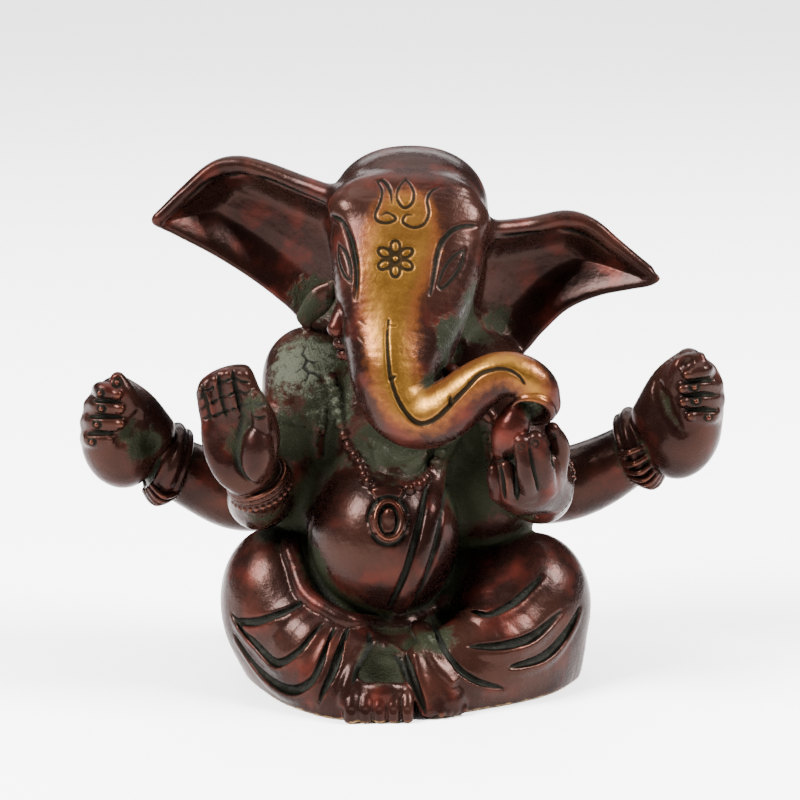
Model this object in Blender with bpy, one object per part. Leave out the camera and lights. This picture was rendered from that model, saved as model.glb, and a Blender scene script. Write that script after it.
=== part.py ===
"""Seated, four-armed, elephant-headed figurine: a small lacquered brass casting.

Metres, +Z up. X runs to the viewer's right, so right_* pieces (the figure's own right)
have negative X, and the figure faces -Y. The origin is under the middle of the object,
on the surface that it stands on. The tables below are in millimetres.
"""

from math import radians, tau

import bmesh
import bpy
from mathutils import Euler, Matrix, Vector
from mathutils.bvhtree import BVHTree

# Driving dimensions, in millimetres
MM = 0.001
GAP = 0.3
SHIFT = (-1.17, 4.94, 0.0)
HEAD_CENTRE = (1.6, 1.0, 82.3)
HEAD_RADII = (13.2, 14.0, 13.8)
HEAD_TILT = 6.0
BELLY_CENTRE = (-2.7, -7.0, 27.5)
BELLY_RADII = (14.6, 14.5, 15.5)
CHEST_CENTRE = (-1.0, 1.5, 47.0)
CHEST_RADII = (16.0, 11.5, 15.0)
SHOULDER_X = 15.5
SHOULDER_Z = 54.0
KNEE_X = 20.5
KNEE_RADII = (12.6, 13.0, 13.6)
RIGHT_FIST = (-50.4, 4.0, 43.2)
RIGHT_FIST_RADII = (6.4, 6.4, 9.0)
LEFT_FIST = (52.4, 4.0, 47.0)
LEFT_FIST_RADII = (6.6, 6.6, 10.4)
EAR_THICK = 2.6
EAR_DISH = 3.0
BAND_RADIUS = 1.1
BEAD_RADIUS = 1.3
FRONT_BRACELET_RADIUS = 5.5
REAR_BRACELET_RADIUS = 6.3
BRACELET_TUBE = 1.7
ARMLET_RADIUS = 6.4
ARMLET_TUBE = 1.3
SKIN_VOXEL = 0.8
FINE_VOXEL = 0.55
SMALL_VOXEL = 0.35
BEAD_VOXEL = 0.45
RING_CORNERS = 16

# Base colour, metallic and roughness of each finish
LACQUER = ((0.16, 0.028, 0.018, 1.0), 0.75, 0.32)
GILT = ((0.62, 0.38, 0.10, 1.0), 0.9, 0.34)
PATINA = ((0.045, 0.07, 0.045, 1.0), 0.3, 0.6)
COPPER = ((0.30, 0.07, 0.03, 1.0), 0.85, 0.3)

# Centre lines, thick end first: x, y, z and radius at each point
TRUNK_LINE = [
    (0.8, -8.0, 83.0, 7.6),
    (0.0, -13.5, 76.0, 7.2),
    (-0.7, -16.5, 69.5, 6.9),
    (-1.1, -18.8, 63.0, 6.6),
    (-0.6, -20.6, 57.5, 6.3),
    (2.0, -22.2, 53.2, 6.0),
    (6.0, -24.0, 52.4, 5.5),
    (9.6, -25.4, 55.2, 4.9),
    (13.1, -26.3, 58.4, 4.4),
    (17.0, -26.8, 60.6, 3.9),
    (20.8, -26.8, 60.7, 3.6),
    (23.6, -26.5, 58.4, 3.3),
    (24.4, -26.0, 55.8, 3.0),
]
RIGHT_LEG_LINE = [
    (-8.0, 7.0, 14.0, 12.0),
    (-18.0, -1.0, 13.0, 11.5),
    (-15.0, -14.0, 9.5, 9.5),
    (-7.0, -20.5, 7.5, 7.0),
]
LEFT_LEG_LINE = [
    (8.0, 7.0, 13.0, 12.0),
    (19.0, -1.0, 12.5, 11.5),
    (18.0, -14.0, 9.0, 9.5),
    (8.5, -20.5, 8.0, 6.5),
]
RIGHT_REAR_ARM_LINE = [
    (-10.0, 4.0, 50.0, 6.5),
    (-18.0, 9.5, 37.0, 6.8),
    (-22.5, 11.0, 31.8, 7.2),
    (-29.5, 11.0, 30.6, 6.9),
    (-37.0, 10.5, 33.6, 6.1),
    (-43.5, 8.0, 38.0, 5.0),
]
LEFT_REAR_ARM_LINE = [
    (10.0, 4.0, 50.0, 6.5),
    (19.0, 9.5, 38.0, 6.8),
    (24.0, 11.0, 32.6, 7.2),
    (31.0, 11.0, 32.4, 6.9),
    (38.0, 10.5, 35.2, 6.3),
    (46.0, 8.0, 41.0, 5.0),
]
RIGHT_FRONT_ARM_LINE = [
    (-16.5, -1.0, 53.0, 7.2),
    (-20.5, -3.0, 43.0, 6.2),
    (-24.5, -7.0, 34.5, 5.8),
    (-24.4, -14.6, 38.6, 5.2),
]
LEFT_FRONT_ARM_LINE = [
    (16.5, -1.0, 52.0, 7.2),
    (21.5, -3.0, 43.0, 6.4),
    (25.0, -7.5, 36.0, 6.0),
    (25.6, -16.0, 38.5, 5.0),
]

# Ear outlines from the head round by the upper rim: x, y, z
RIGHT_EAR_RIM = [
    (-9.0, 3.0, 87.0),
    (-16.5, 5.5, 89.8),
    (-23.9, 7.5, 92.3),
    (-30.5, 8.5, 93.2),
    (-37.4, 7.5, 88.7),
    (-44.0, 4.0, 82.4),
    (-39.9, 3.0, 79.4),
    (-33.0, 3.0, 75.4),
    (-26.5, 3.0, 70.9),
    (-20.0, 2.5, 66.1),
    (-13.5, 1.5, 62.5),
    (-6.0, 1.5, 66.0),
    (-4.5, 2.0, 76.0),
]
LEFT_EAR_RIM = [
    (10.0, 3.0, 85.0),
    (18.0, 5.0, 81.9),
    (24.0, 6.5, 82.2),
    (31.5, 8.0, 83.4),
    (38.5, 7.0, 79.2),
    (46.8, 4.0, 72.5),
    (43.0, 3.0, 70.4),
    (36.3, 3.0, 68.3),
    (30.5, 2.5, 65.4),
    (26.2, 2.0, 61.4),
    (21.5, 1.5, 57.5),
    (13.0, 1.5, 62.0),
    (8.0, 2.0, 74.0),
]

# Root, tip and radius of each tusk
RIGHT_TUSK = ((-8.6, -15.2, 68.2), (-10.6, -18.4, 66.2), 1.7)
LEFT_TUSK = ((8.6, -13.0, 60.5), (15.0, -19.5, 54.0), 1.7)

# Centre and axis of each ring: four bracelets and two armlets
RIGHT_FRONT_WRIST = ((-24.2, -15.2, 39.0), (-0.4, -0.55, 1.0))
LEFT_FRONT_WRIST = ((25.4, -16.6, 39.4), (-0.75, -0.75, 0.55))
RIGHT_REAR_WRIST = ((-42.3, 8.4, 37.4), (-0.93, -0.25, 0.36))
LEFT_REAR_WRIST = ((44.4, 8.4, 40.4), (0.93, -0.25, 0.4))
RIGHT_UPPER_ARM = ((-19.6, -2.4, 46.0), (-0.3, -0.15, -1.0))
LEFT_UPPER_ARM = ((21.8, -2.4, 45.8), (0.5, -0.15, -1.0))

# Ornaments that lie on the front of the torso: x and z of each point
THREAD_ROUTE = [(6.6, 44.0), (5.6, 38.5), (4.2, 33.0), (2.4, 27.5), (-0.4, 21.5)]
BEAD_ROUTE = [
    (-12.3, 56.5), (-11.6, 52.5), (-11.0, 48.6), (-9.2, 44.6), (-7.0, 41.4), (-3.4, 39.0),
    (0.8, 38.6), (4.4, 40.6), (6.6, 44.6),
]
COLLAR_ROUTE = [(-8.6, 52.0), (-6.2, 48.6), (-2.6, 46.4), (1.4, 46.6), (4.6, 49.0)]
PENDANT_PLACE = (-2.0, 34.6)
SASH_ROUTE = [
    (-16.6, 30.0), (-16.0, 25.0), (-14.0, 20.4), (-10.4, 17.2), (-5.0, 15.6), (0.6, 15.8),
    (6.0, 17.4), (10.0, 20.6), (11.8, 25.0),
]


def placed(point):
    """A point of the tables in world metres."""
    return (Vector(point[:3]) + Vector(SHIFT)) * MM


def clear_scene():
    for old in list(bpy.data.objects):
        bpy.data.objects.remove(old, do_unlink=True)


def linked(name, mesh):
    made = bpy.data.objects.new(name, mesh)
    bpy.context.scene.collection.objects.link(made)
    return made


def settle(made):
    """Turns an object's modifiers, or its curve, into plain mesh."""
    bpy.context.view_layer.update()
    graph = bpy.context.evaluated_depsgraph_get()
    mesh = bpy.data.meshes.new_from_object(made.evaluated_get(graph))
    name = made.name
    bpy.data.objects.remove(made, do_unlink=True)
    return linked(name, mesh)


def ball(centre, radii, turn=(0.0, 0.0, 0.0), detail=3):
    """An ellipsoid, turned about its centre by degrees round X, Y and Z."""
    spin = Euler([radians(angle) for angle in turn]).to_matrix().to_4x4()
    stretch = Matrix.Diagonal([radius * MM for radius in radii] + [1.0])
    form = bmesh.new()
    bmesh.ops.create_icosphere(form, subdivisions=detail, radius=1.0)
    form.transform(Matrix.Translation(placed(centre)) @ spin @ stretch)
    mesh = bpy.data.meshes.new("ball")
    form.to_mesh(mesh)
    form.free()
    return linked("ball", mesh)


def tube(line, closed=False, smooth=4, sides=2):
    """A round bar of changing radius through the points of a line."""
    curve = bpy.data.curves.new("tube", "CURVE")
    curve.dimensions = "3D"
    curve.bevel_depth = MM
    curve.bevel_resolution = sides
    curve.use_fill_caps = not closed
    curve.resolution_u = smooth
    spline = curve.splines.new("BEZIER")
    spline.bezier_points.add(len(line) - 1)
    spline.use_cyclic_u = closed
    for point, row in zip(spline.bezier_points, line):
        point.co = placed(row)
        point.radius = row[3]
        point.handle_left_type = "AUTO"
        point.handle_right_type = "AUTO"
    return settle(linked("tube", curve))


def limb(line, sides=3):
    """A tube with a round end on each end."""
    ends = [ball(row[:3], (row[3],) * 3) for row in (line[0], line[-1])]
    return [tube(line, sides=sides)] + ends


def joined(shapes):
    form = bmesh.new()
    for shape in shapes:
        form.from_mesh(shape.data)
        bpy.data.objects.remove(shape, do_unlink=True)
    mesh = bpy.data.meshes.new("joined")
    form.to_mesh(mesh)
    form.free()
    return linked("joined", mesh)


def blended(name, shapes, triangles, voxel=SKIN_VOXEL, soften=4):
    """Melts overlapping shapes into one closed skin with about this many triangles."""
    made = joined(shapes)
    made.name = name
    skin = made.modifiers.new("skin", "REMESH")
    skin.mode = "VOXEL"
    skin.voxel_size = voxel * MM
    soft = made.modifiers.new("soft", "SMOOTH")
    soft.factor = 0.5
    soft.iterations = soften
    made = settle(made)
    faces = 2 * len(made.data.polygons)
    thin = made.modifiers.new("thin", "DECIMATE")
    thin.ratio = min(1.0, triangles / faces)
    thin.use_collapse_triangulate = True
    return settle(made)


def swollen(source):
    """A copy of a piece that is larger by the gap all round."""
    copy = linked("swollen", source.data.copy())
    grow = copy.modifiers.new("grow", "DISPLACE")
    grow.strength = GAP * MM
    grow.mid_level = 0.0
    return settle(copy)


def largest_body(made):
    """Keeps the biggest of the separate bodies that a cut can leave."""
    form = bmesh.new()
    form.from_mesh(made.data)
    bmesh.ops.remove_doubles(form, verts=form.verts, dist=0.004 * MM)
    bmesh.ops.dissolve_degenerate(form, edges=form.edges, dist=0.004 * MM)
    bmesh.ops.triangulate(form, faces=form.faces)
    left = set(form.verts)
    bodies = []
    while left:
        body = [left.pop()]
        for vert in body:
            for edge in vert.link_edges:
                other = edge.other_vert(vert)
                if other in left:
                    left.discard(other)
                    body.append(other)
        bodies.append(body)
    bodies.sort(key=len)
    for body in bodies[:-1]:
        bmesh.ops.delete(form, geom=body, context="VERTS")
    form.to_mesh(made.data)
    form.free()
    return made


def cut(made, cutters):
    """Takes each cutter out of a piece."""
    for count, cutter in enumerate(cutters):
        taken = made.modifiers.new("cut%d" % count, "BOOLEAN")
        taken.operation = "DIFFERENCE"
        taken.solver = "EXACT"
        taken.object = cutter
    made = settle(made)
    for cutter in cutters:
        bpy.data.objects.remove(cutter, do_unlink=True)
    return largest_body(made)


def beside(made, neighbours):
    """Cuts a piece back to leave the gap to its neighbours."""
    return cut(made, [swollen(other) for other in neighbours])


def under_floor():
    """A box below the surface that the figure sits on."""
    form = bmesh.new()
    bmesh.ops.create_cube(form, size=0.2)
    bmesh.ops.translate(form, verts=form.verts, vec=(0.0, 0.0, -0.1))
    mesh = bpy.data.meshes.new("floor")
    form.to_mesh(mesh)
    form.free()
    return linked("floor", mesh)


def ear(name, rim, dish):
    """A dished sheet inside a closed rim, thickened to both sides."""
    outline = tube([point + (0.01,) for point in rim], closed=True, smooth=2, sides=0)
    corners = len(rim) * 2
    points = [vert.co.copy() for vert in outline.data.vertices]
    share = len(points) // corners
    ring = [sum(points[i * share:(i + 1) * share], Vector()) / share for i in range(corners)]
    bpy.data.objects.remove(outline, do_unlink=True)
    middle = sum(ring, Vector()) / corners
    form = bmesh.new()
    hollow = Vector((0.0, dish * MM, 0.0))
    steps = (1.0, 0.72, 0.4)
    rings = []
    for step in steps:
        row = [form.verts.new(middle + (point - middle) * step + hollow * (1 - step * step))
               for point in ring]
        rings.append(row)
    centre = form.verts.new(middle + hollow)
    for outer, inner in zip(rings, rings[1:]):
        for i in range(corners):
            j = (i + 1) % corners
            form.faces.new((outer[i], outer[j], inner[j], inner[i]))
    for i in range(corners):
        form.faces.new((rings[-1][i], rings[-1][(i + 1) % corners], centre))
    bmesh.ops.recalc_face_normals(form, faces=form.faces)
    mesh = bpy.data.meshes.new(name)
    form.to_mesh(mesh)
    form.free()
    made = linked(name, mesh)
    thick = made.modifiers.new("thick", "SOLIDIFY")
    thick.thickness = EAR_THICK * MM
    thick.offset = 0.0
    thick.use_even_offset = True
    return settle(made)


def front_of(body, x, z, lift=0.0):
    """The point on the front of a body at this x and z, as a table row."""
    tree = BVHTree.FromObject(body, bpy.context.evaluated_depsgraph_get())
    start = placed((x, -60.0, z))
    hit = tree.ray_cast(start, Vector((0.0, 1.0, 0.0)))[0]
    if hit is None:
        hit = tree.find_nearest(placed((x, -12.0, z)))[0]
    point = hit / MM - Vector(SHIFT)
    return (point.x, point.y - lift, point.z)


def draped(name, body, route, radius, lift, sides=2):
    """A band that lies on the front of a body."""
    line = [front_of(body, x, z, lift) + (radius,) for x, z in route]
    made = tube(line, sides=sides, smooth=3)
    made.name = name
    return made


def ring_round(name, centre, axis, radius, tube_radius, neighbours):
    """A torus about an axis, for a bracelet or an armlet, clear of its neighbours."""
    turn = Vector((0.0, 0.0, 1.0)).rotation_difference(Vector(axis))
    line = []
    for corner in range(RING_CORNERS):
        spoke = Matrix.Rotation(tau * corner / RING_CORNERS, 3, "Z") @ Vector((radius, 0.0, 0.0))
        line.append(tuple(Vector(centre) + turn @ spoke) + (tube_radius,))
    made = tube(line, closed=True, smooth=1, sides=1)
    made.name = name
    return beside(made, neighbours)


def make_head():
    skull = ball(HEAD_CENTRE, HEAD_RADII, turn=(0.0, HEAD_TILT, 0.0))
    brow_right = ball((-8.2, -5.0, 84.5), (4.2, 4.6, 4.6))
    brow_left = ball((11.6, -5.0, 82.0), (4.2, 4.6, 4.6))
    cheek_right = ball((-5.5, -5.5, 71.5), (6.6, 8.0, 10.0), turn=(8.0, -8.0, 0.0))
    cheek_left = ball((8.2, -5.0, 69.5), (7.0, 8.0, 10.5), turn=(8.0, 12.0, 0.0))
    nape = ball((1.0, 4.0, 69.0), (9.5, 9.5, 9.0))
    return blended("head", [skull, brow_right, brow_left, cheek_right, cheek_left, nape], 400)


def make_trunk():
    return blended("trunk", limb(TRUNK_LINE), 400)


def make_tusk(name, base, tip, radius):
    line = [tuple(base) + (radius,), tuple(tip) + (radius * 0.62,)]
    return blended(name, limb(line, sides=2), 90, voxel=SMALL_VOXEL, soften=2)


def make_torso():
    belly = ball(BELLY_CENTRE, BELLY_RADII)
    chest = ball(CHEST_CENTRE, CHEST_RADII)
    back = ball((0.0, 7.5, 34.0), (15.5, 11.5, 19.0))
    shoulders = [ball((side * SHOULDER_X, 2.0, SHOULDER_Z), (8.6, 8.2, 9.0)) for side in (-1, 1)]
    flanks = [ball((side * 16.6, 2.0, 33.5), (8.6, 8.5, 11.5)) for side in (-1, 1)]
    neck = ball((0.0, 1.0, 62.0), (8.5, 8.5, 7.0))
    return blended("torso", [belly, chest, back, neck] + shoulders + flanks, 460)


def make_leg(name, side, line):
    knee = ball((side * KNEE_X, -4.0, 12.2), KNEE_RADII)
    return blended(name, limb(line) + [knee], 320)


def make_seat():
    rear = ball((0.0, 7.0, 11.0), (23.0, 15.5, 15.0))
    lap = ball((0.0, -8.0, 6.0), (17.0, 12.0, 9.0))
    return blended("seat", [rear, lap], 240)


def make_foot(name, heel, toes, radii, toe_count, toe_radius):
    """A foot with a row of toes that ends at two points."""
    sole = ball(heel, radii)
    first, last = Vector(toes[0]), Vector(toes[1])
    row = [ball(first.lerp(last, i / (toe_count - 1)), (toe_radius, toe_radius * 1.7, toe_radius * 1.15))
           for i in range(toe_count)]
    return blended(name, [sole] + row, 260, voxel=FINE_VOXEL, soften=2)


def make_open_hand():
    """The raised right hand, palm forward with its fingers together."""
    palm = ball((-26.9, -19.5, 47.5), (6.9, 4.0, 8.2), turn=(6.0, 4.0, 0.0))
    thenar = ball((-23.0, -20.5, 49.0), (4.0, 3.9, 7.0), turn=(0.0, -14.0, 0.0))
    heel = ball((-25.0, -17.5, 41.8), (5.4, 4.4, 4.6))
    fingers = []
    for finger, top in enumerate((58.2, 60.6, 60.9, 59.4)):
        x = -32.2 + 2.75 * finger
        fingers += limb([(x + 0.6, -20.5, 50.0, 1.75), (x, -21.5, top - 1.4, 1.4)], sides=2)
    return blended("right_front_hand", [palm, thenar, heel] + fingers, 360, voxel=FINE_VOXEL, soften=2)


def make_cupped_hand():
    """The left hand in front of the belly, fingers curled up round the sweet."""
    palm = ball((22.0, -23.4, 42.0), (6.6, 5.4, 6.7))
    heel = ball((26.0, -19.0, 39.0), (4.6, 4.6, 5.0))
    fingers = limb([(27.2, -22.4, 42.6, 2.0), (27.6, -24.4, 50.0, 1.5)], sides=2)
    for x, top in ((16.8, 44.0), (18.9, 45.0), (21.3, 49.4), (23.8, 50.0)):
        fingers += limb([(x + 0.9, -26.4, 40.2, 1.8), (x, -28.4, top, 1.5)], sides=2)
    return blended("left_front_hand", [palm, heel] + fingers, 360, voxel=FINE_VOXEL, soften=2)


def make_fist(name, side, centre, radii):
    """A closed rear hand, its thumb standing up at the top."""
    core = ball(centre, radii, turn=(0.0, side * 14.0, 0.0))
    shapes = [core]
    for finger in range(4):
        z = centre[2] + 4.6 - 3.1 * finger
        x = centre[0] + side * (1.2 - 0.5 * abs(finger - 1.5))
        y = centre[1] - radii[1] * 0.62
        shapes.append(ball((x, y, z), (4.8, 2.7, 1.8), turn=(0.0, side * 12.0, 0.0)))
    top = (centre[0] - side * 1.6, centre[1] - 1.0, centre[2] + radii[2] * 0.86)
    shapes.append(ball(top, (2.8, 3.0, 3.4)))
    return blended(name, shapes, 300, voxel=FINE_VOXEL, soften=2)


def make_pendant(body):
    point = front_of(body, PENDANT_PLACE[0], PENDANT_PLACE[1])
    disc = ball((point[0], point[1] - 0.3, point[2]), (4.2, 1.5, 5.4), turn=(-8.0, 0.0, 0.0), detail=2)
    low = front_of(body, PENDANT_PLACE[0] + 0.2, PENDANT_PLACE[1] - 5.8)
    drop = ball((low[0], low[1] - 0.2, low[2]), (1.5, 1.3, 2.2), detail=2)
    return blended("pendant", [disc, drop], 140, voxel=SMALL_VOXEL, soften=2)


def make_beads(body):
    """A string of round beads, each one touching the next."""
    line = [front_of(body, x, z, 0.7) + (0.75,) for x, z in BEAD_ROUTE]
    cord = tube(line, smooth=4, sides=1)
    shapes = [cord]
    for start, end in zip(line, line[1:]):
        for part in (0.0, 0.5):
            middle = Vector(start[:3]).lerp(Vector(end[:3]), part)
            shapes.append(ball(middle, (BEAD_RADIUS,) * 3, detail=2))
    shapes.append(ball(line[-1][:3], (BEAD_RADIUS,) * 3, detail=2))
    return blended("necklace", shapes, 420, voxel=BEAD_VOXEL, soften=1)


def make_thread(body):
    return draped("sacred_thread", body, THREAD_ROUTE, BAND_RADIUS, 0.5)


def make_collar(body):
    return draped("collar", body, COLLAR_ROUTE, 1.25, 0.6)


def make_sash(body):
    return draped("waist_sash", body, SASH_ROUTE, 1.9, 0.6)


def finish(made, colour, metallic, roughness):
    """Gives a piece its own material and smooth shading."""
    coat = bpy.data.materials.new(made.name)
    coat.use_nodes = True
    surface = coat.node_tree.nodes["Principled BSDF"]
    surface.inputs["Base Color"].default_value = colour
    surface.inputs["Metallic"].default_value = metallic
    surface.inputs["Roughness"].default_value = roughness
    coat.diffuse_color = colour
    made.data.materials.clear()
    made.data.materials.append(coat)
    made.data.shade_smooth()
    made.data.set_sharp_from_angle(angle=0.7)


def build():
    clear_scene()
    head = make_head()
    trunk = beside(make_trunk(), [head])
    torso = beside(make_torso(), [head, trunk])
    right_tusk = beside(make_tusk("right_tusk", *RIGHT_TUSK), [head, trunk])
    left_tusk = beside(make_tusk("left_tusk", *LEFT_TUSK), [head, trunk])
    right_ear = beside(ear("right_ear", RIGHT_EAR_RIM, EAR_DISH), [head, torso])
    left_ear = beside(ear("left_ear", LEFT_EAR_RIM, EAR_DISH), [head, torso])

    right_front_arm = beside(blended("right_front_arm", limb(RIGHT_FRONT_ARM_LINE), 200), [torso])
    left_front_arm = beside(blended("left_front_arm", limb(LEFT_FRONT_ARM_LINE), 200), [torso])
    right_rear_arm = blended("right_rear_arm", limb(RIGHT_REAR_ARM_LINE), 200)
    right_rear_arm = beside(right_rear_arm, [torso, right_front_arm])
    left_rear_arm = blended("left_rear_arm", limb(LEFT_REAR_ARM_LINE), 200)
    left_rear_arm = beside(left_rear_arm, [torso, left_front_arm])
    right_front_hand = beside(make_open_hand(), [right_front_arm])
    left_front_hand = beside(make_cupped_hand(), [left_front_arm, trunk])
    fist = make_fist("right_rear_hand", -1, RIGHT_FIST, RIGHT_FIST_RADII)
    right_rear_hand = beside(fist, [right_rear_arm])
    fist = make_fist("left_rear_hand", 1, LEFT_FIST, LEFT_FIST_RADII)
    left_rear_hand = beside(fist, [left_rear_arm])
    sweet = blended("sweet", [ball((19.3, -26.2, 50.9), (3.3, 3.3, 4.4))], 120, voxel=FINE_VOXEL)
    sweet = beside(sweet, [trunk, left_front_hand])

    right_foot = make_foot("right_foot", (-3.0, -25.0, 4.0), ((-7.4, -30.0, 1.9), (3.0, -29.8, 1.9)),
                           (6.2, 6.2, 5.6), 5, 1.35)
    right_foot = cut(right_foot, [under_floor()])
    left_foot = make_foot("left_foot", (7.4, -23.6, 4.4), ((8.4, -28.6, 1.8), (12.4, -26.6, 1.8)),
                          (4.2, 5.8, 5.6), 3, 1.35)
    left_foot = cut(beside(left_foot, [right_foot]), [under_floor()])
    right_leg = beside(make_leg("right_leg", -1, RIGHT_LEG_LINE), [torso, right_foot, left_foot])
    right_leg = cut(beside(right_leg, [right_front_arm, right_rear_arm]), [under_floor()])
    left_leg = beside(make_leg("left_leg", 1, LEFT_LEG_LINE), [torso, right_foot, left_foot, right_leg])
    left_leg = cut(beside(left_leg, [left_front_arm, left_rear_arm]), [under_floor()])
    seat = beside(make_seat(), [torso, right_leg, left_leg, right_foot, left_foot])
    seat = cut(seat, [under_floor()])

    pendant = beside(make_pendant(torso), [torso])
    thread = beside(make_thread(torso), [torso, pendant])
    sash = beside(make_sash(torso), [torso, right_leg, left_leg, thread, seat])
    collar = beside(make_collar(torso), [torso, trunk, head])
    necklace = beside(make_beads(torso), [torso, trunk, head, pendant, thread, collar, right_front_arm])

    front_ring = (FRONT_BRACELET_RADIUS, BRACELET_TUBE)
    rear_ring = (REAR_BRACELET_RADIUS, BRACELET_TUBE)
    right_front_bracelet = ring_round("right_front_bracelet", *RIGHT_FRONT_WRIST, *front_ring,
                                      [right_front_arm, right_front_hand, torso])
    left_front_bracelet = ring_round("left_front_bracelet", *LEFT_FRONT_WRIST, *front_ring,
                                     [left_front_arm, left_front_hand, torso])
    right_rear_bracelet = ring_round("right_rear_bracelet", *RIGHT_REAR_WRIST, *rear_ring,
                                     [right_rear_arm, right_rear_hand])
    left_rear_bracelet = ring_round("left_rear_bracelet", *LEFT_REAR_WRIST, *rear_ring,
                                    [left_rear_arm, left_rear_hand])
    armlet = (ARMLET_RADIUS, ARMLET_TUBE)
    right_armlet = ring_round("right_armlet", *RIGHT_UPPER_ARM, *armlet,
                              [right_front_arm, torso, right_rear_arm])
    left_armlet = ring_round("left_armlet", *LEFT_UPPER_ARM, *armlet,
                             [left_front_arm, torso, left_rear_arm])

    gilt = [trunk]
    copper = [sweet, right_tusk, left_tusk, pendant]
    green = [collar]
    red = [
        head, torso, right_ear, left_ear, right_front_arm, left_front_arm, right_rear_arm, left_rear_arm,
        right_front_hand, left_front_hand, right_rear_hand, left_rear_hand, right_foot, left_foot,
        right_leg, left_leg, seat, thread, sash, necklace, right_front_bracelet, left_front_bracelet,
        right_rear_bracelet, left_rear_bracelet, right_armlet, left_armlet,
    ]
    for pieces, look in ((gilt, GILT), (copper, COPPER), (green, PATINA), (red, LACQUER)):
        for piece in pieces:
            finish(piece, *look)


build()
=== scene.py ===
"""The looks of a small seated, four-armed, elephant-headed figurine in lacquered brass.

The figure is sculpted as one field of signed distances, so that its masses flow into each
other as in a casting. The field is then parted into one closed piece for each CAD node.
The tables are in millimetres on the figure's own grid: x to the viewer's right, y away
from the viewer and z up from the base. right_* is the figure's own right, at negative x.
"""

import math

import bpy
import numpy as np
import openvdb
from mathutils import Euler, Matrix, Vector


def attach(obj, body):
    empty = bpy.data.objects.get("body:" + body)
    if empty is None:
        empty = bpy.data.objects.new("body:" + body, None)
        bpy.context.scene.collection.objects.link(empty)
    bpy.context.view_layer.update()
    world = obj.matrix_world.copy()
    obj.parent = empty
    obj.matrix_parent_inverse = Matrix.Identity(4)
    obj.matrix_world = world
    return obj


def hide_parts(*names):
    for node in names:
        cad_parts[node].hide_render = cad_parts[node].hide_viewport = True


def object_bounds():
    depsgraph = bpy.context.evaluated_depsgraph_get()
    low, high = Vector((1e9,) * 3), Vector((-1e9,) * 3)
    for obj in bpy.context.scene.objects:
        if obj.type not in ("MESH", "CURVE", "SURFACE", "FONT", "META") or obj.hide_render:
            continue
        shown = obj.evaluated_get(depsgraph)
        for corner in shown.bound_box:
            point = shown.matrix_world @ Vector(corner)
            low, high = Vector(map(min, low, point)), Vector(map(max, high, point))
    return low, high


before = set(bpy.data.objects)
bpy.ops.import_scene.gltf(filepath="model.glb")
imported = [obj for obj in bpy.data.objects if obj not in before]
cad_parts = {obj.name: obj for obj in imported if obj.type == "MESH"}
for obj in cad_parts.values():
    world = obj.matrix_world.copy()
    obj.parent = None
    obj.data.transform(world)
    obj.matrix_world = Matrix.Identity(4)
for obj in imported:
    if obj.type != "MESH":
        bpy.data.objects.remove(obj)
CAD_LOW, CAD_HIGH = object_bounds()

# The figure's grid against the CAD frame
TALL = 96.0
MIDDLE = (1.17, -4.94)
UNIT = (CAD_HIGH.z - CAD_LOW.z) / TALL
CENTRE = (CAD_LOW + CAD_HIGH) / 2

# The size of a voxel, the distance held where no shape reaches, and how far round
# a shape its distances are worked out
STEP = 0.28
FAR = 50.0
REACH = 3.5
# The box of the grid that holds the figure
GRID_LOW = (-62, -36, -1.5)
GRID_HIGH = (64, 26, 99)

# The picture is taken from the front, a little above
TILT = math.radians(12)
SIGHT = np.array([0.0, math.cos(TILT), -math.sin(TILT)])
# How far before and behind a point its place on the skin is looked for
SEARCH = 7.0
# How many spots of a line are tried for its first meeting with the skin
PROBES = 500


def to_frame(points):
    """Points of the figure's grid in the frame's metres."""
    points = np.asarray(points, float)
    moved = points - np.array([MIDDLE[0], MIDDLE[1], 0.0])
    return moved * UNIT + np.array([CENTRE.x, CENTRE.y, CAD_LOW.z])


# ---------------------------------------------------------------- lines


def spun(turn):
    """The rotation matrix of three angles in degrees."""
    return np.array(Euler([math.radians(angle) for angle in turn]).to_matrix())


def smooth_line(rows, per_span=6):
    """A Catmull-Rom curve through rows of x, y, z and whatever else they hold."""
    rows = np.array(rows, float)
    if len(rows) < 3:
        return rows
    ends = np.vstack([2 * rows[0] - rows[1], rows, 2 * rows[-1] - rows[-2]])
    found = []
    for a, b, c, d in zip(ends, ends[1:], ends[2:], ends[3:]):
        for t in np.arange(per_span) / per_span:
            found.append(0.5 * (2 * b + (c - a) * t + (2 * a - 5 * b + 4 * c - d) * t * t
                                + (3 * b - a - 3 * c + d) * t ** 3))
    found.append(rows[-1])
    return np.array(found)


def spaced(points, gap):
    """Points a gap apart along a line."""
    points = np.asarray(points, float)
    length = np.concatenate([[0], np.cumsum(np.linalg.norm(np.diff(points, axis=0), axis=1))])
    stops = np.arange(0, length[-1], gap)
    return np.column_stack([np.interp(stops, length, column) for column in points.T])


def tapered(points, radius, tip=0.4):
    """Rows for a Limb that thins towards both its ends."""
    part = np.linspace(0, 1, len(points))
    size = radius * (tip + (1 - tip) * np.sin(np.pi * part) ** 0.6)
    return np.column_stack([points, size])


def wire(points, radius, *more):
    """Rows for a Limb or a Loft of one size: the points, the radius and whatever follows it."""
    return np.column_stack([points, np.full(len(points), radius), *more])


def oval(centre, across, up, count):
    """A closed loop of points round a centre."""
    angle = np.linspace(0, 2 * math.pi, count + 1)[:, None]
    return np.array(centre) + np.cos(angle) * np.array(across) + np.sin(angle) * np.array(up)


def soft_min(a, b, soft):
    """The smaller of two fields, with a fillet of a given width where they meet."""
    if soft <= 0:
        return np.minimum(a, b)
    near = np.maximum(soft - np.abs(a - b), 0) / soft
    return np.minimum(a, b) - near * near * soft * 0.25


def soft_max(a, b, soft):
    return -soft_min(-a, -b, soft)


# ---------------------------------------------------------------- fields


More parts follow.
